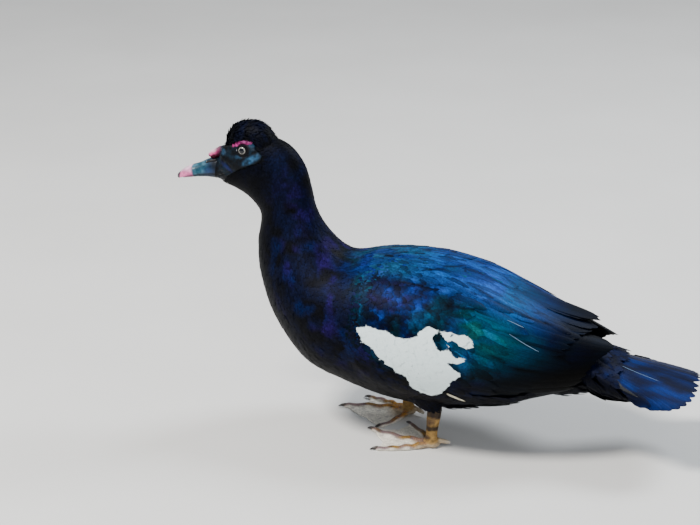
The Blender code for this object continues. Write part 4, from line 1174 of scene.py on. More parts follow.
# wing arms and the tail's root, flat pads deep in their feathers
for side in (1, -1):
    grid_a, grid_b = np.meshgrid(np.linspace(0.03, 0.98, 40), np.linspace(0.03, 0.97, 30), indexing="ij")
    front, rear = wing_front(grid_b) + 4, np.interp(grid_b, [0, 0.15, 0.35, 0.6, 0.85, 1], [196, 212, 222, 238, 246, 238]) - 44
    y = front + (rear - front) * grid_a
    v = at_share(y, grid_b)
    sheet = wing[side]
    spot, away = sheet.point(y, v), sheet.out(y, v)
    edge = np.minimum(np.minimum(grid_a - 0.03, 0.98 - grid_a) * 8, np.minimum(grid_b - 0.03, 0.97 - grid_b) * 6)
    bulge = np.sqrt(np.clip(edge, 0, 1)) * 1.6
    upper = spot - away * (8.8 - 0.9 * bulge)[..., None]
    lower = spot - away * (9.2 + bulge * 0.6)[..., None]
    m, n = y.shape
    quads = grid_quads(m, n)
    if side < 0:
        quads = quads[:, ::-1]
    rim = np.concatenate([np.arange(n), np.arange(1, m) * n + n - 1, (m - 1) * n + np.arange(n - 2, -1, -1), np.arange(m - 2, 0, -1) * n])
    around = np.stack([rim, np.roll(rim, -1), np.roll(rim, -1) + m * n, rim + m * n], -1)
    skin.add(np.concatenate([upper.reshape(-1, 3), lower.reshape(-1, 3)]), np.concatenate([quads, quads[:, ::-1] + m * n, around if side > 0 else around[:, ::-1]]), [], BLACK)
turns = np.linspace(0, 2 * np.pi, 48, endpoint=False)
rings = []
for y in np.linspace(190, 282, 20):
    _, mid, wide, above, below = at(TAIL, np.array(y))
    wide = wide - 7
    rings.append(np.stack([wide * np.cos(turns), y + 0 * turns,
                           mid - 16.5 * (wide * np.cos(turns) / 78) ** 2 - 1.5 + np.where(np.sin(turns) > 0, np.maximum(above - 6.5, 0.4), np.maximum(below - 5.0, 0.5)) * np.sin(turns)], -1))
skin.rings(np.array(rings), BLACK)

# knob over the bill's base
lat, lon = np.meshgrid(np.linspace(0.001, np.pi - 0.001, 44), np.linspace(0, 2 * np.pi, 64, endpoint=False), indexing="ij")
ball = np.stack([np.sin(lat) * np.cos(lon), -np.cos(lat), np.sin(lat) * np.sin(lon)], -1)
radii = np.array([8.8, 16.6, 6.0])
lumpy = 1 + 0.20 * (noise(ball * radii, 4.2, 71) - 0.5) + 0.12 * (noise(ball * radii, 2.0, 72) - 0.5)
knob = ball * radii * lumpy[..., None]
turn = math.radians(26)
knob = np.stack([knob[..., 0], knob[..., 1] * math.cos(turn) - knob[..., 2] * math.sin(turn), knob[..., 1] * math.sin(turn) + knob[..., 2] * math.cos(turn)], -1) + np.array([0, -294.0, 366.6])


def knob_tint(point):
    # the knob's own pink, darkened to maroon below as painted shade and paled on top as a painted highlight
    h = 0.899 * (point[..., 2] - 366.6) - 0.438 * (point[..., 1] + 294.0) + 1.6 * (noise(point, 3.4, 75) - 0.5)
    c = mix(colour(58, 5, 26), colour(196, 84, 134), smooth(-1.4, 2.0, h))
    c = mix(c, colour(228, 196, 212), smooth(2.2, 4.8, h) * 0.8)
    c = mix(c, colour(84, 12, 52), smooth(-299, -292, point[..., 1] + 0.5 * h) * 0.85)
    c = mix(c, SKIN_TEAL * 1.6, smooth(-294, -288, point[..., 1] + 2 * (noise(point, 4, 73) - 0.5)))
    return c * (0.8 + 0.4 * noise(point, 2.2, 74))[..., None]


skin.rings(knob, knob_tint)

# eyelids: a rolled rim round each eyeball, running out under the face's skin
head_rows = p_line < 5.0
flat_grid = (surface + out * (-depth + bare * folds)[..., None])[head_rows]
m, n = flat_grid.shape[:2]
head_tree = BVHTree.FromPolygons(flat_grid.reshape(-1, 3).tolist(), grid_quads(m, n, True).tolist())
GAZE = unit(np.array([0.985, -0.12, 0.10]))


def eye_axes(side):
    g = GAZE * np.array([side, 1, 1])
    forward = unit(np.array([0.0, -1.0, 0.0]) - g * np.dot(g, [0, -1, 0]))
    return EYE_AT * np.array([side, 1, 1]), g, forward, np.cross(g, forward) * side


for side in (1, -1):
    centre, g, forward, up = eye_axes(side)
    rings = []
    for radius, stand, flow in ((4.75, -0.30, 0), (5.0, 0.10, 0), (5.15, 0.50, 0), (5.5, 0.85, 0.05), (6.1, 1.0, 0.2), (6.9, 0.8, 0.5), (7.9, 0.45, 0.8), (9.0, 0.15, 1), (10.4, -0.9, 1)):
        ring = []
        for a in np.linspace(0, 2 * np.pi, 72, endpoint=False):
            wide = radius * (1 + 0.05 * math.cos(2 * a) - 0.05 * max(math.sin(a), 0) ** 2)
            offset = (forward * math.cos(a) + up * math.sin(a)) * wide
            ball_height = math.sqrt(max(EYE_R**2 - wide**2, 0.5))
            hit = head_tree.ray_cast(Vector(centre + offset + g * 25), Vector(-g))[0]
            face_height = np.dot(np.array(hit) - centre - offset, g) if hit is not None else ball_height
            face_height = float(np.clip(face_height, -6, 9))
            crinkle = 0.12 * math.sin(a * 17 + radius * 2) * smooth(5.2, 6.5, radius)
            ring.append(centre + offset + g * (ball_height * (1 - flow) + face_height * flow + stand + crinkle))
        rings.append(ring if side > 0 else ring[::-1])
    rings = np.array(rings)
    m, n = rings.shape[:2]

    def lid_tint(point):
        rim_ring = np.hypot(point[..., 1] - EYE_AT[1], point[..., 2] - EYE_AT[2])
        return mix(colour(7, 8, 12), face_tint(point), smooth(7.5, 10, rim_ring))

    quads = grid_quads(m, n, True)[:, ::-1]
    under = rings - g * np.linspace(0.3, 1.2, m)[:, None, None]
    count = m * n
    k = np.arange(n)
    joins = np.concatenate([np.stack([k, (k + 1) % n, (k + 1) % n + count, k + count], -1),
                            np.stack([(m - 1) * n + (k + 1) % n, (m - 1) * n + k, (m - 1) * n + k + count, (m - 1) * n + (k + 1) % n + count], -1)])
    skin.add(np.concatenate([rings.reshape(-1, 3), under.reshape(-1, 3)]), np.concatenate([quads, quads[:, ::-1] + count, joins]), [],
             lid_tint(np.concatenate([rings.reshape(-1, 3), under.reshape(-1, 3)])))

# ---------------------------------------------------------------- legs and feet


def closed_rings(rings):
    """Points and triangles of a closed loft."""
    m, n = rings.shape[:2]
    points = np.concatenate([rings.reshape(-1, 3), rings[0].mean(0)[None], rings[-1].mean(0)[None]])
    k = np.arange(n)
    quads = grid_quads(m, n, True)
    threes = np.concatenate([quads[:, [0, 1, 2]], quads[:, [0, 2, 3]], np.stack([k * 0 + m * n, k, (k + 1) % n], -1), np.stack([k * 0 + m * n + 1, (m - 1) * n + (k + 1) % n, (m - 1) * n + k], -1)])
    return points, threes


def tube_rings(line, across, wide, tall, count=24):
    """Rings along a line: half width along 'across', half height upwards."""
    a = np.linspace(0, 2 * np.pi, count, endpoint=False)
    line, across = np.asarray(line, float), np.asarray(across, float)
    ahead = unit(np.gradient(line, axis=0))
    up = unit(np.cross(ahead, across))
    up = up * np.sign(up[:, 2:3] + 1e-6)
    return line[:, None] + across[:, None] * (np.asarray(wide)[:, None] * np.cos(a))[..., None] + up[:, None] * (np.asarray(tall)[:, None] * np.sin(a))[..., None]


def foot_reach(theta, toes):
    (inner_root, inner, inner_len, _), (_, middle, middle_len, _), (outer_root, outer, outer_len, _) = toes.values()
    halfway = [(inner + middle) / 2, (middle + outer) / 2]
    between = np.interp(theta, [inner, halfway[0], middle, halfway[1], outer], [0, 1, 0, 1, 0])
    reach = np.interp(theta, [inner, middle, outer], [inner_len, middle_len, outer_len])
    return reach * (1 - 0.18 * between**0.8) - 2.5


def toe_angle(toe, r):
    root, tip, length, _ = toe
    return root + (tip - root) * np.clip(r / length, 0, 1.2)


def leg_points(label, side):
    """One leg below the feathers, remeshed into a single smooth shell."""
    toes = TOES[label]
    hx, hy = HEEL[label]
    parts = []
    # web, thin and a little slack between the toes
    low, high = toes["inner"][1], toes["outer"][1]
    theta, share = np.meshgrid(np.linspace(low - 1.0, high + 1.0, 90), np.linspace(0.0, 1, 48), indexing="ij")
    lowest, highest = toe_angle(toes["inner"], share * 70), toe_angle(toes["outer"], share * 70)
    spread = lowest + (highest - lowest) * ((theta - low) / (high - low))
    r = 3 + share * (foot_reach(theta, toes) - 3)
    wrinkle = noise(np.stack([r * 0.25, theta * 1.1, 0 * r], -1), 6.0, 81) - 0.5
    middle = toe_angle(toes["middle"], r)
    sag = np.sin(np.clip((spread - lowest) / np.maximum(middle - lowest, 1), 0, 1) * np.pi) + np.sin(np.clip((spread - middle) / np.maximum(highest - middle, 1), 0, 1) * np.pi)
    top = 2.3 + 1.9 * np.exp(-((r / 26) ** 2)) - 0.5 * sag + 0.9 * wrinkle * share
    angle = np.radians(spread) * side
    x, y = np.sin(angle) * r + hx, -np.cos(angle) * r + hy
    upper, lower = np.stack([x, y, np.maximum(top, 1.5)], -1), np.stack([x, y, np.maximum(top, 1.5) * 0 + 0.0], -1)
    m, n = r.shape
    quads = grid_quads(m, n)
    rim = np.concatenate([np.arange(n), np.arange(1, m) * n + n - 1, (m - 1) * n + np.arange(n - 2, -1, -1), np.arange(m - 2, 0, -1) * n])
    around = np.stack([rim, np.roll(rim, -1), np.roll(rim, -1) + m * n, rim + m * n], -1)
    quads = np.concatenate([quads[:, ::-1], quads + m * n, around])
    parts.append((np.concatenate([upper.reshape(-1, 3), lower.reshape(-1, 3)]), np.concatenate([quads[:, [0, 1, 2]], quads[:, [0, 2, 3]]])))
    # toes, swollen at their joints
    for name, toe in toes.items():
        root, tip, length, half = toe
        r = np.linspace(2, length + 0.8, 40)
        share = r / length
        angle = np.radians(toe_angle(toe, r)) * side
        x, y = np.sin(angle) * r + hx, -np.cos(angle) * r + hy
        joints = {"inner": 2, "middle": 3, "outer": 4}[name]
        swell = 1 + 0.13 * np.cos((share - 0.98) * joints * 2 * np.pi) * smooth(0.1, 0.3, share)
        wide = half * (1.0 - 0.40 * share) * swell
        wide[-3:] *= np.array([0.93, 0.78, 0.45])
        tall = wide * 0.80
        line = np.stack([x, y, tall * 0.80 + 1.3 * np.exp(-((r / 16) ** 2))], -1)
        ahead = unit(np.gradient(line, axis=0))
        across = unit(np.stack([-ahead[:, 1], ahead[:, 0], 0 * x], -1))
        parts.append(closed_rings(tube_rings(line, across, wide, tall)))
    # heel pad, tarsus and hind toe
    a = np.linspace(0, 2 * np.pi, 28, endpoint=False)
    rings = []
    for k in np.linspace(-0.16, 1.36, 30):
        deep = np.interp(k, [-0.16, -0.05, 0, 0.2, 0.4, 0.6, 0.8, 1.0, 1.36], [9.6, 9.2, 8.5, 8.1, 8.2, 8.8, 9.7, 10.1, 9.0])
        flat = np.interp(k, [-0.16, -0.05, 0.1, 0.8, 1.0], [0.98, 0.88, 0.73, 0.72, 0.78])
        c = np.array([hx + 0.5 * side * k, hy - 0.5 + 3.5 * max(k, 0) ** 1.3, 12.35 + (TARSUS_TOP - 12.35) * k])
        # the front and back are drawn in a little
        ridge = 1 + 0.05 * np.cos(2 * a) - 0.05 * np.exp(-((np.cos(a) ** 2) / 0.08) * 0) * 0
        rings.append(np.stack([c[0] + flat * deep * np.cos(a) * (1 - 0.08 * np.abs(np.sin(a)) ** 3), c[1] + deep * np.sin(a) * ridge, c[2] + 0 * a], -1))
    parts.append(closed_rings(np.array(rings)))
    lat, lon = np.meshgrid(np.linspace(0.01, np.pi - 0.01, 14), np.linspace(0, 2 * np.pi, 24, endpoint=False), indexing="ij")
    heel = np.stack([hx + 9.4 * np.sin(lat) * np.cos(lon), hy + 0.5 + 11.0 * np.sin(lat) * np.sin(lon), 5.6 + 6.4 * np.cos(lat)], -1)
    parts.append(closed_rings(heel))
    line = np.array([[hx - 1.0 * side, hy + 6, 9.6], [hx - 2.0 * side, hy + 11.6, 8.8], [hx - 3.6 * side, hy + 16, 7.8], [hx - 5.4 * side, hy + 21, 6.2], [hx - 6.2 * side, hy + 24, 5.0]])
    line = along(line, np.linspace(0, 4, 16))
    parts.append(closed_rings(tube_rings(line, np.tile([[1.0, 0, 0]], (16, 1)), np.interp(np.linspace(0, 4, 16), [0, 1, 2, 3, 4], [3.6, 3.3, 3.3, 2.7, 1.6]), np.interp(np.linspace(0, 4, 16), [0, 1, 2, 3, 4], [3.6, 3.2, 3.2, 2.6, 1.5]), 18)))
    points, threes, count = [], [], 0
    for part_points, part_threes in parts:
        points.append(part_points)
        threes.append(part_threes + count)
        count += len(part_points)
    raw = mesh_object("leg_raw", np.concatenate(points), [], np.concatenate(threes))
    remesh = raw.modifiers.new("whole", "REMESH")
    remesh.mode, remesh.voxel_size, remesh.use_smooth_shade = "VOXEL", 0.00090, True
    relax = raw.modifiers.new("relax", "SMOOTH")
    relax.factor, relax.iterations = 0.5, 5
    whole = raw.evaluated_get(bpy.context.evaluated_depsgraph_get()).to_mesh()
    co = np.zeros(len(whole.vertices) * 3, np.float32)
    whole.vertices.foreach_get("co", co)
    normal = np.zeros(len(whole.vertices) * 3, np.float32)
    whole.vertices.foreach_get("normal", normal)
    corners = np.zeros(len(whole.loops), np.int32)
    whole.loops.foreach_get("vertex_index", corners)
    starts = np.zeros(len(whole.polygons), np.int32)
    whole.polygons.foreach_get("loop_start", starts)
    points, normal = co.reshape(-1, 3).astype(float) / MM, normal.reshape(-1, 3).astype(float)
    quads = corners[starts[:, None] + np.arange(4)]
    raw_mesh = raw.data
    bpy.data.objects.remove(raw)
    bpy.data.meshes.remove(raw_mesh)
    return points, normal, quads


OCHRE, UMBER, WEBS = colour(140, 110, 62), colour(70, 54, 48), colour(222, 216, 202)
AMBER, PLUM = colour(186, 128, 46), colour(128, 110, 116)


def leg_finish(points, normal, label, side):
    """Scutes pressed into the surface, and the leg's colours."""
    hx, hy = HEEL[label]
    x, y, z = points[:, 0] - hx, points[:, 1] - hy, points[:, 2]
    r, theta = np.hypot(x, y), np.degrees(np.arctan2(x * side, -y))
    on_toe, across_toe = np.zeros(len(points)), np.zeros(len(points))
    for toe in TOES[label].values():
        far = np.radians(theta - toe_angle(toe, r)) * np.maximum(r, 4)
        half = toe[3] * (1.0 - 0.40 * np.clip(r / toe[2], 0, 1))
        near = smooth(1.15, 0.7, np.abs(far) / half) * (r < toe[2] + 4)
        on_toe = np.maximum(on_toe, near)
    shaft = smooth(12.5, 16, z) * (r < 22)
    on_toe = on_toe * (1 - shaft) * smooth(1.5, 3.0, z)
    up = np.clip(normal[:, 2], 0, 1)
    bands = np.abs(np.sin(r * np.pi / 2.9))
    height = on_toe * up * (0.34 * np.sqrt(bands) - 0.2)
    front = smooth(0.1, -0.5, normal[:, 1])
    rings = np.abs(np.sin((z + 0.8 * np.abs(x)) * np.pi / 3.1))
    net = noise(points, 1.5, 91)
    height = height + shaft * (front * (0.42 * np.sqrt(rings) - 0.25) + (1 - front) * 0.5 * (net - 0.5))
    web = (1 - on_toe) * (1 - shaft)
    height = height + web * 0.30 * (noise(points * [1, 1, 0.2], 2.4, 92) - 0.5) * smooth(1.2, 2.0, z)
    points = points + normal * height[:, None]
    points[:, 2] = np.maximum(points[:, 2], 0.0)
    patchy, fine = noise(points, 7.5, 93), noise(points, 2.0, 94)
    tint = mix(WEBS, PLUM, smooth(0.55, 0.9, patchy) * 0.35)
    tint = mix(tint, OCHRE, smooth(34, 14, r) * 0.7)
    toe_colour = mix(mix(OCHRE, UMBER, smooth(0.45, 0.85, patchy) * 0.8), PLUM, smooth(0.30, 0.65, noise(points, 11, 95) + 0.006 * (r - 40)) * 0.8)
    toe_colour = mix(toe_colour, AMBER, smooth(60, 16, r) * (0.75 if side < 0 else 0.30) * smooth(0.25, 0.6, fine))
    tint = mix(tint, toe_colour, on_toe)
    tarsus = mix(colour(148, 116, 66), UMBER, smooth(0.45, 0.8, patchy) * 0.8)
    ring = np.exp(-(((z - 28 - 2 * (patchy - 0.5)) / 3.2) ** 4))
    tarsus = mix(tarsus, colour(26, 22, 24), np.clip(ring * 0.9 + smooth(42, 47, z) * 0.85 + smooth(0.55, 0.75, noise(points * [1, 1, 1.4], 5.0, 96)) * 0.4, 0, 0.92))
    tint = mix(tint, tarsus, np.maximum(shaft, smooth(12, 8, r) * smooth(4, 8, z)))
    # painted shade in the grooves between the scutes
    groove_shade = np.maximum(on_toe * up * (1 - bands) ** 2, shaft * front * (1 - rings) ** 2)
    tint = tint * (0.78 + 0.44 * fine)[:, None] * (1 - 0.55 * groove_shade)[:, None]
    tint = mix(tint, colour(92, 84, 74) * 0.8, smooth(1.4, 0.3, z) * 0.5)
    return points, tint


for label, side in (("left", 1), ("right", -1)):
    points, normal, quads = leg_points(label, side)
    points, tint = leg_finish(points, normal, label, side)
    skin.add(points, quads, [], tint)

skin_object = mesh_object("skin", np.concatenate(skin.points), np.concatenate(skin.quads), np.concatenate(skin.threes))
add_colour(skin_object.data, "tint", np.concatenate(skin.tints))
m = Nodes("skin")
grain = m.cells(m.place(), 900.0)
pores = m.noise(m.place(), 700.0, 3.0, 0.6)
factor = m.span(pores, 0.3, 0.7, 0.75, 1.25)
m.set(Base_Color=m.blend(1.0, m.attribute("tint"), m.grey(factor), "MULTIPLY"), Roughness=m.span(pores, 0.3, 0.7, 0.38, 0.54), Metallic=0.0)
m.shader.inputs["Specular IOR Level"].default_value = 0.12
m.bump(m.maths("ADD", m.maths("MULTIPLY", grain, 0.6), m.maths("MULTIPLY", pores, 0.6)), 0.45, 0.0003)
skin_object.data.materials.append(m.mat)
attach(skin_object, "root")
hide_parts("head", "neck_upper", "neck_lower", "trunk", "knob", "shank_left", "shank_right", "tarsus_left", "tarsus_right",
            "foot_left", "foot_right", "toe_hind_left", "toe_hind_right")
print("piece skin triangles", sum(len(q) * 2 for q in skin.quads) + sum(len(q) for q in skin.threes))

# feathered shanks, over the tops of the legs
shank_coat = Coat("coat_shanks", None)
for label, side in (("left", 1), ("right", -1)):
    hx, hy = HEEL[label]
    top_of = np.array([hx + 0.5 * side, hy + 3.0, TARSUS_TOP])

    def shank_point(p, q):
        k = 1 - p  # p runs down
        grow = smooth(0, 1, k)
        dx, dy = 9.4 + 20 * grow, 12.2 + 26 * grow
        phi = 2 * np.pi * q
        c = top_of + np.stack([-4.0 * side * k, -26.0 * k, 40.0 * k], -1)
        return np.stack([c[..., 0] + dx * np.cos(phi), c[..., 1] + dy * np.sin(phi), c[..., 2]], -1)

    sheet = Sheet(shank_point, (-0.1, 1.06), (0, 1), (61, 73), round_q=True)
    p, q = scatter(sheet, (0.0, 0.72), lambda p: 2.8, lambda p: 3.4)
    n = len(p)
    long_ = rng.uniform(9, 15, n) * np.interp(p, [0, 0.5, 0.72], [1, 0.8, 0.66])
    turn = rng.normal(0, 0.12, n)
    inner = 0.0 if side > 0 else 0.5
    shank_coat.skin_map = lambda p, q, inner=inner: (np.mod(q, 1) * 0.98 + 0.01, inner + p * 0.48 + 0.01)
    shank_coat.lay(sheet, (p, q), ends_of(sheet, p, q, long_, turn), rng.uniform(5, 6.5, n), -2.4, rng.normal(0.2, 0.3, n), CONTOUR,
                   lambda point, p, q, t, s, r: mix(BLACK, NAVY, 0.3 * r) * (0.7 + 0.5 * r)[..., None], ragged=0.12, fray=0.2, soft=0.6)
shank_coat.build(soft_plumage, "plumage", "shank_left", "shank_right")

# ------------------------------------------------------------- bill and claws


def bill_rings(rows, count, sides, level, flat_up, flat_down, lap):
    """Rings of one half of the bill, closing to the tip. level is the widest place's share of the height, and lap is how far the sides hang."""
    last = len(rows) - 1
    t = np.linspace(0, 1, count)
    t = last * (0.55 * t + 0.45 * np.sin(t * np.pi / 2))
    s = along(rows, t)
    phi = np.linspace(0, 2 * np.pi, sides, endpoint=False)
    p, q = np.sin(phi)[None], np.cos(phi)[None]
    mid = (s[:, 2] + (s[:, 1] - s[:, 2]) * level)[:, None]
    up, down = np.maximum(q, 0) ** flat_up * (s[:, 1:2] - mid), np.maximum(-q, 0) ** flat_down * (mid - s[:, 2:3])
    drop = lap * np.abs(p) ** 5 * np.clip(s[:, 3:4] / 8, 0, 1)
    return np.stack([s[:, 3:4] * power(p, 0.85), s[:, 0:1] + 0 * p, mid + up - down - drop], -1)


NOSTRIL = [(-309.5, 353.6), (-306, 355.0), (-301, 356.4), (-297, 357.4)]


def bill_finish(rings):
    point = rings
    x, y, z = point[..., 0], point[..., 1], point[..., 2]
    gap = np.full(x.shape, 99.0)
    for (ay, az), (by, bz) in zip(NOSTRIL, NOSTRIL[1:]):
        k = np.clip(((y - ay) * (by - ay) + (z - az) * (bz - az)) / ((by - ay) ** 2 + (bz - az) ** 2), 0, 1)
        gap = np.minimum(gap, np.hypot((y - ay - k * (by - ay)) * 0.9, (z - az - k * (bz - az)) * 1.15))
    pit = np.exp(-((gap / 1.7) ** 4)) * smooth(3, 6, np.abs(x))
    lip = np.exp(-(((gap - 2.6) / 0.9) ** 2)) * smooth(3, 6, np.abs(x))
    away = unit(np.stack([x, 0 * x, (z - 343) * 1.4], -1))
    wear = 0.30 * (noise(point, 3.5, 101) - 0.5) + 0.12 * (noise(point, 1.2, 102) - 0.5)
    # lamellae notch the cutting edge; the nail stands up from the tip
    edge_z = np.interp(y, [-352, -343, -333, -320, -309, -300, -290], [328, 331.2, 334.2, 337, 338.6, 339.8, 340.5])
    teeth = np.exp(-(((z - edge_z) / 1.0) ** 2)) * 0.22 * np.sin(y * 2 * np.pi / 1.9) * smooth(-338, -330, y)
    nail = smooth(-341.5, -344, y + 0.035 * x**2) * smooth(332, 334, z)
    height = wear - 1.9 * pit + 0.22 * lip + teeth + 0.40 * nail
    point = point + away * height[..., None]
    mottle, fine = noise(point, 5.5, 103), noise(point, 1.8, 104)
    teal = mix(colour(26, 66, 82), colour(62, 104, 122), smooth(0.35, 0.8, mottle))
    tint = mix(teal, colour(14, 32, 58), smooth(-316, -303, y + 4 * (mottle - 0.5)) * 0.9)
    tint = mix(tint, colour(8, 12, 20), smooth(-307, -297, y + 5 * (fine - 0.5)) * 0.9)
    tint = mix(tint, colour(28, 52, 92), np.exp(-(((y + 305) / 9) ** 2)) * smooth(349, 343, z) * 0.6)
    pink = smooth(-327.0, -330.5, y + 1.6 * (mottle - 0.5) + 0.25 * (z - 338))
    # the tip's own pink, paler higher up and near white along its top: a painted highlight
    tint = mix(tint, mix(colour(192, 100, 144), colour(206, 144, 178), smooth(336, 342, z)), pink)
    tint = mix(tint, colour(212, 196, 208), pink * smooth(0.72, 1.0, (z - 330) / (np.interp(y, [-352, -343, -333, -320], [331.5, 340.2, 345.2, 350]) - 330)) * 0.55)
    tint = mix(tint, colour(26, 22, 28), smooth(-346.2, -347.6, y + 0.8 * (mottle - 0.5)) * 0.95)
    # painted shade in the nostril's pit
    tint = mix(tint, colour(8, 8, 11), np.clip(pit * 1.2, 0, 1))
    tint = mix(tint, colour(30, 34, 40), np.exp(-(((z - edge_z) / 0.7) ** 2)) * 0.55 * smooth(-343, -335, y))
    return point, tint * (0.82 + 0.36 * fine)[..., None]


def rings_object(name, rings, tints, material, slot, *nodes):
    m, n = rings.shape[:2]
    points = np.concatenate([rings.reshape(-1, 3), rings[0].mean(0)[None], rings[-1].mean(0)[None]])
    k = np.arange(n)
    threes = np.concatenate([np.stack([k * 0 + m * n, (k + 1) % n, k], -1), np.stack([k * 0 + m * n + 1, (m - 1) * n + k, (m - 1) * n + (k + 1) % n], -1)])
    obj = mesh_object(name, points, grid_quads(m, n, True)[:, ::-1], threes, material)
    add_colour(obj.data, "tint", np.concatenate([tints.reshape(-1, 3), tints[0].mean(0)[None], tints[-1].mean(0)[None]]))
    u, v = np.meshgrid(np.linspace(0, 1, m), np.linspace(0, 1, n), indexing="ij")
    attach(obj, "root")
    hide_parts(*nodes)
    return obj


m = Nodes("bill_horn")
pores = m.noise(m.place(), 900.0, 3.0, 0.6)
streak = m.noise(m.place(), 160.0, 3.0, 0.55)
m.set(Base_Color=m.blend(1.0, m.attribute("tint"), m.grey(m.maths("MULTIPLY", m.span(pores, 0.3, 0.7, 0.88, 1.12), m.span(streak, 0.3, 0.7, 0.80, 1.20))), "MULTIPLY"), Roughness=m.span(streak, 0.3, 0.7, 0.30, 0.42))
m.shader.inputs["Specular IOR Level"].default_value = 0.28
m.bump(pores, 0.35, 0.0002)
bill_horn = m.mat
for name, rows, sides, form in (("bill_upper", BILL_UPPER, 96, (0.07, 0.9, 0.35, 1.1)), ("bill_lower", BILL_LOWER, 72, (0.86, 0.3, 0.75, 0.0))):
    rings = bill_rings(rows, 110, sides, *form)
    rings, tints = bill_finish(rings)
    if name == "bill_lower":
        # painted shade: the lower bill darkened where it lies under the upper
        tints = mix(tints, colour(20, 24, 32), 0.6)
    rings_object(name + "_horn", rings, tints, bill_horn, "bill", name)

m = Nodes("claw_horn")
stripes = m.noise(m.place(), 500.0, 3.0, 0.6)
m.set(Base_Color=m.blend(1.0, m.attribute("tint"), m.grey(m.span(stripes, 0.3, 0.7, 0.7, 1.3)), "MULTIPLY"), Roughness=0.35)
m.bump(stripes, 0.3, 0.0002)
claw_horn = m.mat
for label, side in (("left", 1), ("right", -1)):
    for toe, (root, tip, length, _) in TOES[label].items():
        turn, ahead = math.radians(tip) * side, math.radians(tip * 1.6 - root * 0.6) * side
        start = np.array([HEEL[label][0], HEEL[label][1], 0.0]) + np.array([math.sin(turn), -math.cos(turn), 0]) * (length - 2.0)
        way = np.array([math.sin(ahead), -math.cos(ahead), 0])
        k = np.linspace(0, 1, 18)
        line = start + way * (k * 10.8)[:, None] + np.stack([0 * k, 0 * k, 3.5 + 0.5 * np.sin(k * 2.2) - 2.9 * k**1.8], -1)
        radius = np.interp(k, [0, 0.25, 0.6, 0.85, 1], [2.5, 2.25, 1.65, 1.05, 0.35])
        across = np.tile(np.array([way[1], -way[0], 0]) * -1, (len(k), 1))
        rings = tube_rings(line, across, radius * 0.9, radius, 18)
        rings[..., 2] = np.maximum(rings[..., 2], 0.05)
        if side * 0 + np.dot(np.cross(rings[1, 0] - rings[0, 0], rings[0, 1] - rings[0, 0]), rings[0, 0] - line[0]) > 0:
            rings = rings[:, ::-1]
        tints = mix(colour(66, 56, 50), colour(22, 19, 20), np.broadcast_to(smooth(0.1, 0.8, k)[:, None], rings.shape[:2]))
        rings_object(f"claw_{label}_{toe}_horn", rings, tints, claw_horn, "claw", f"claw_{label}_{toe}")

# ----------------------------------------------------------------------- eyes
m = Nodes("eye")
rho = m.attribute("rho", "Fac")
speckle = m.noise(m.place(), 1500.0, 2.0, 0.6)
edge = m.maths("ADD", rho, m.maths("MULTIPLY", m.maths("SUBTRACT", speckle, 0.5), 0.35))
iris = m.blend(m.span(speckle, 0.3, 0.7, 0.0, 1.0), (0.17, 0.16, 0.135, 1), (0.37, 0.355, 0.32, 1))
iris = m.blend(m.span(rho, 3.6, 4.3, 0.55, 0.0, soft=True), iris, (0.12, 0.12, 0.12, 1))
c = m.blend(m.span(edge, 3.60, 3.85, 0.0, 1.0, soft=True), (0.003, 0.004, 0.007, 1), iris)
c = m.blend(m.span(edge, 4.60, 5.00, 0.0, 1.0, soft=True), c, (0.006, 0.006, 0.009, 1))
m.set(Base_Color=c, Roughness=0.08)
m.shader.inputs["Specular IOR Level"].default_value = 0.1
m.shader.inputs["Coat Weight"].default_value = 0.6
m.shader.inputs["Coat Roughness"].default_value = 0.02
eye_material = m.mat
for label, side in (("left", 1), ("right", -1)):
    centre, g, forward, up = eye_axes(side)
    lat = np.linspace(0.004, np.pi - 0.004, 56)
    lon = np.linspace(0, 2 * np.pi, 64, endpoint=False)
    rings = np.array([centre + g * EYE_R * math.cos(a) + EYE_R * math.sin(a) * (np.cos(lon)[:, None] * forward + np.sin(lon)[:, None] * up * side) for a in lat])
    # the clear front stands a little proud
    proud = np.exp(-((np.sin(lat) * EYE_R / 4.6) ** 4)) * (np.cos(lat) > 0) * 0.35
    rings = rings + g * proud[:, None, None]
    obj = rings_object(f"eyeball_{label}", rings, np.ones(rings.shape) * 0.02, eye_material, "eye", f"eye_{label}")
    values = np.concatenate([np.repeat(np.where(np.cos(lat) > 0, np.sin(lat) * EYE_R, EYE_R + 5), len(lon)), [0.0, 12.0]])
    field = obj.data.attributes.new("rho", "FLOAT", "POINT")
    field.data.foreach_set("value", values.astype(np.float32))

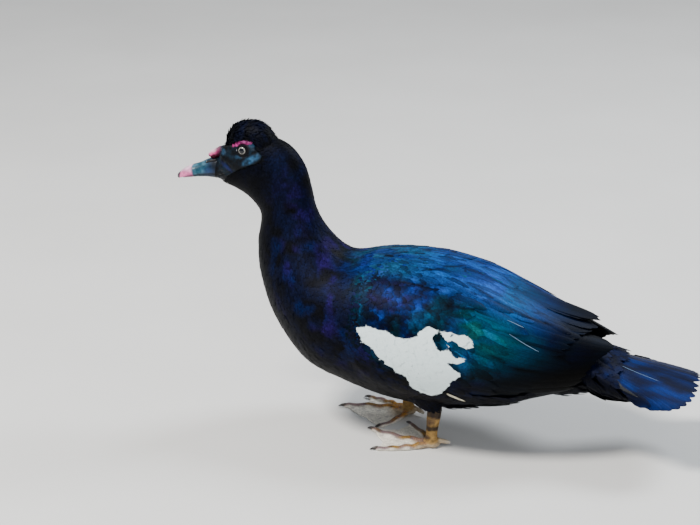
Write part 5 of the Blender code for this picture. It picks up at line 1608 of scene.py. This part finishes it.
# ------------------------------------------------------ floor, light and camera
m = Nodes("floor")
dust = m.noise(m.place(), 3.0, 3.0, 0.5)
m.set(Base_Color=m.blend(m.span(dust, 0.3, 0.7, 0.0, 1.0), (0.66, 0.65, 0.63, 1), (0.70, 0.69, 0.67, 1)), Roughness=0.9)
floor = mesh_object("floor", np.array([[-9000, -9000, 0], [9000, -9000, 0], [9000, 9000, 0], [-9000, 9000, 0]], float), [[0, 1, 2, 3]], [], m.mat)

world = bpy.data.worlds.new("studio")
world.use_nodes = True
world.node_tree.nodes["Background"].inputs[0].default_value = (0.88, 0.93, 1.0, 1)
world.node_tree.nodes["Background"].inputs[1].default_value = 0.42
bpy.context.scene.world = world


def lamp(name, place, aim, size, power_w, tint=(1, 1, 1)):
    data = bpy.data.lights.new(name, "AREA")
    data.shape, data.size, data.energy, data.color = "DISK", size, power_w, tint
    obj = bpy.data.objects.new(name, data)
    obj.location = place
    obj.rotation_mode = "QUATERNION"
    obj.rotation_quaternion = (Vector(aim) - Vector(place)).to_track_quat("-Z", "Y")
    bpy.context.scene.collection.objects.link(obj)


lamp("key", (1.3, -1.4, 3.0), (0, -0.05, 0.15), 0.9, 190, (1.0, 0.98, 0.94))
lamp("back", (-1.4, 1.3, 2.4), (0, 0, 0.2), 1.2, 80, (0.88, 0.94, 1.0))
lamp("fill", (2.4, 1.2, 1.4), (0, 0.05, 0.15), 1.6, 26, (0.92, 0.96, 1.0))

azimuth, elevation, distance, lens, sensor = math.radians(105), math.radians(20), 2.6, 99.0, 36.0
back = Vector((math.sin(azimuth) * math.cos(elevation), -math.cos(azimuth) * math.cos(elevation), math.sin(elevation)))
right = Vector((-back.y, back.x, 0)).normalized()
if right.y < 0:
    right = -right
up = back.cross(right)
per_pixel = distance * sensor / lens / 700
aim = -right * (432 - 350) * per_pixel + up * (428 - 262.5) * per_pixel
camera_data = bpy.data.cameras.new("camera")
camera_data.lens, camera_data.sensor_width, camera_data.clip_end = lens, sensor, 60
camera = bpy.data.objects.new("camera", camera_data)
camera.matrix_world = Matrix(((right.x, up.x, back.x, 0), (right.y, up.y, back.y, 0), (right.z, up.z, back.z, 0), (0, 0, 0, 1)))
camera.location = aim + back * distance
bpy.context.scene.collection.objects.link(camera)
bpy.context.scene.camera = camera
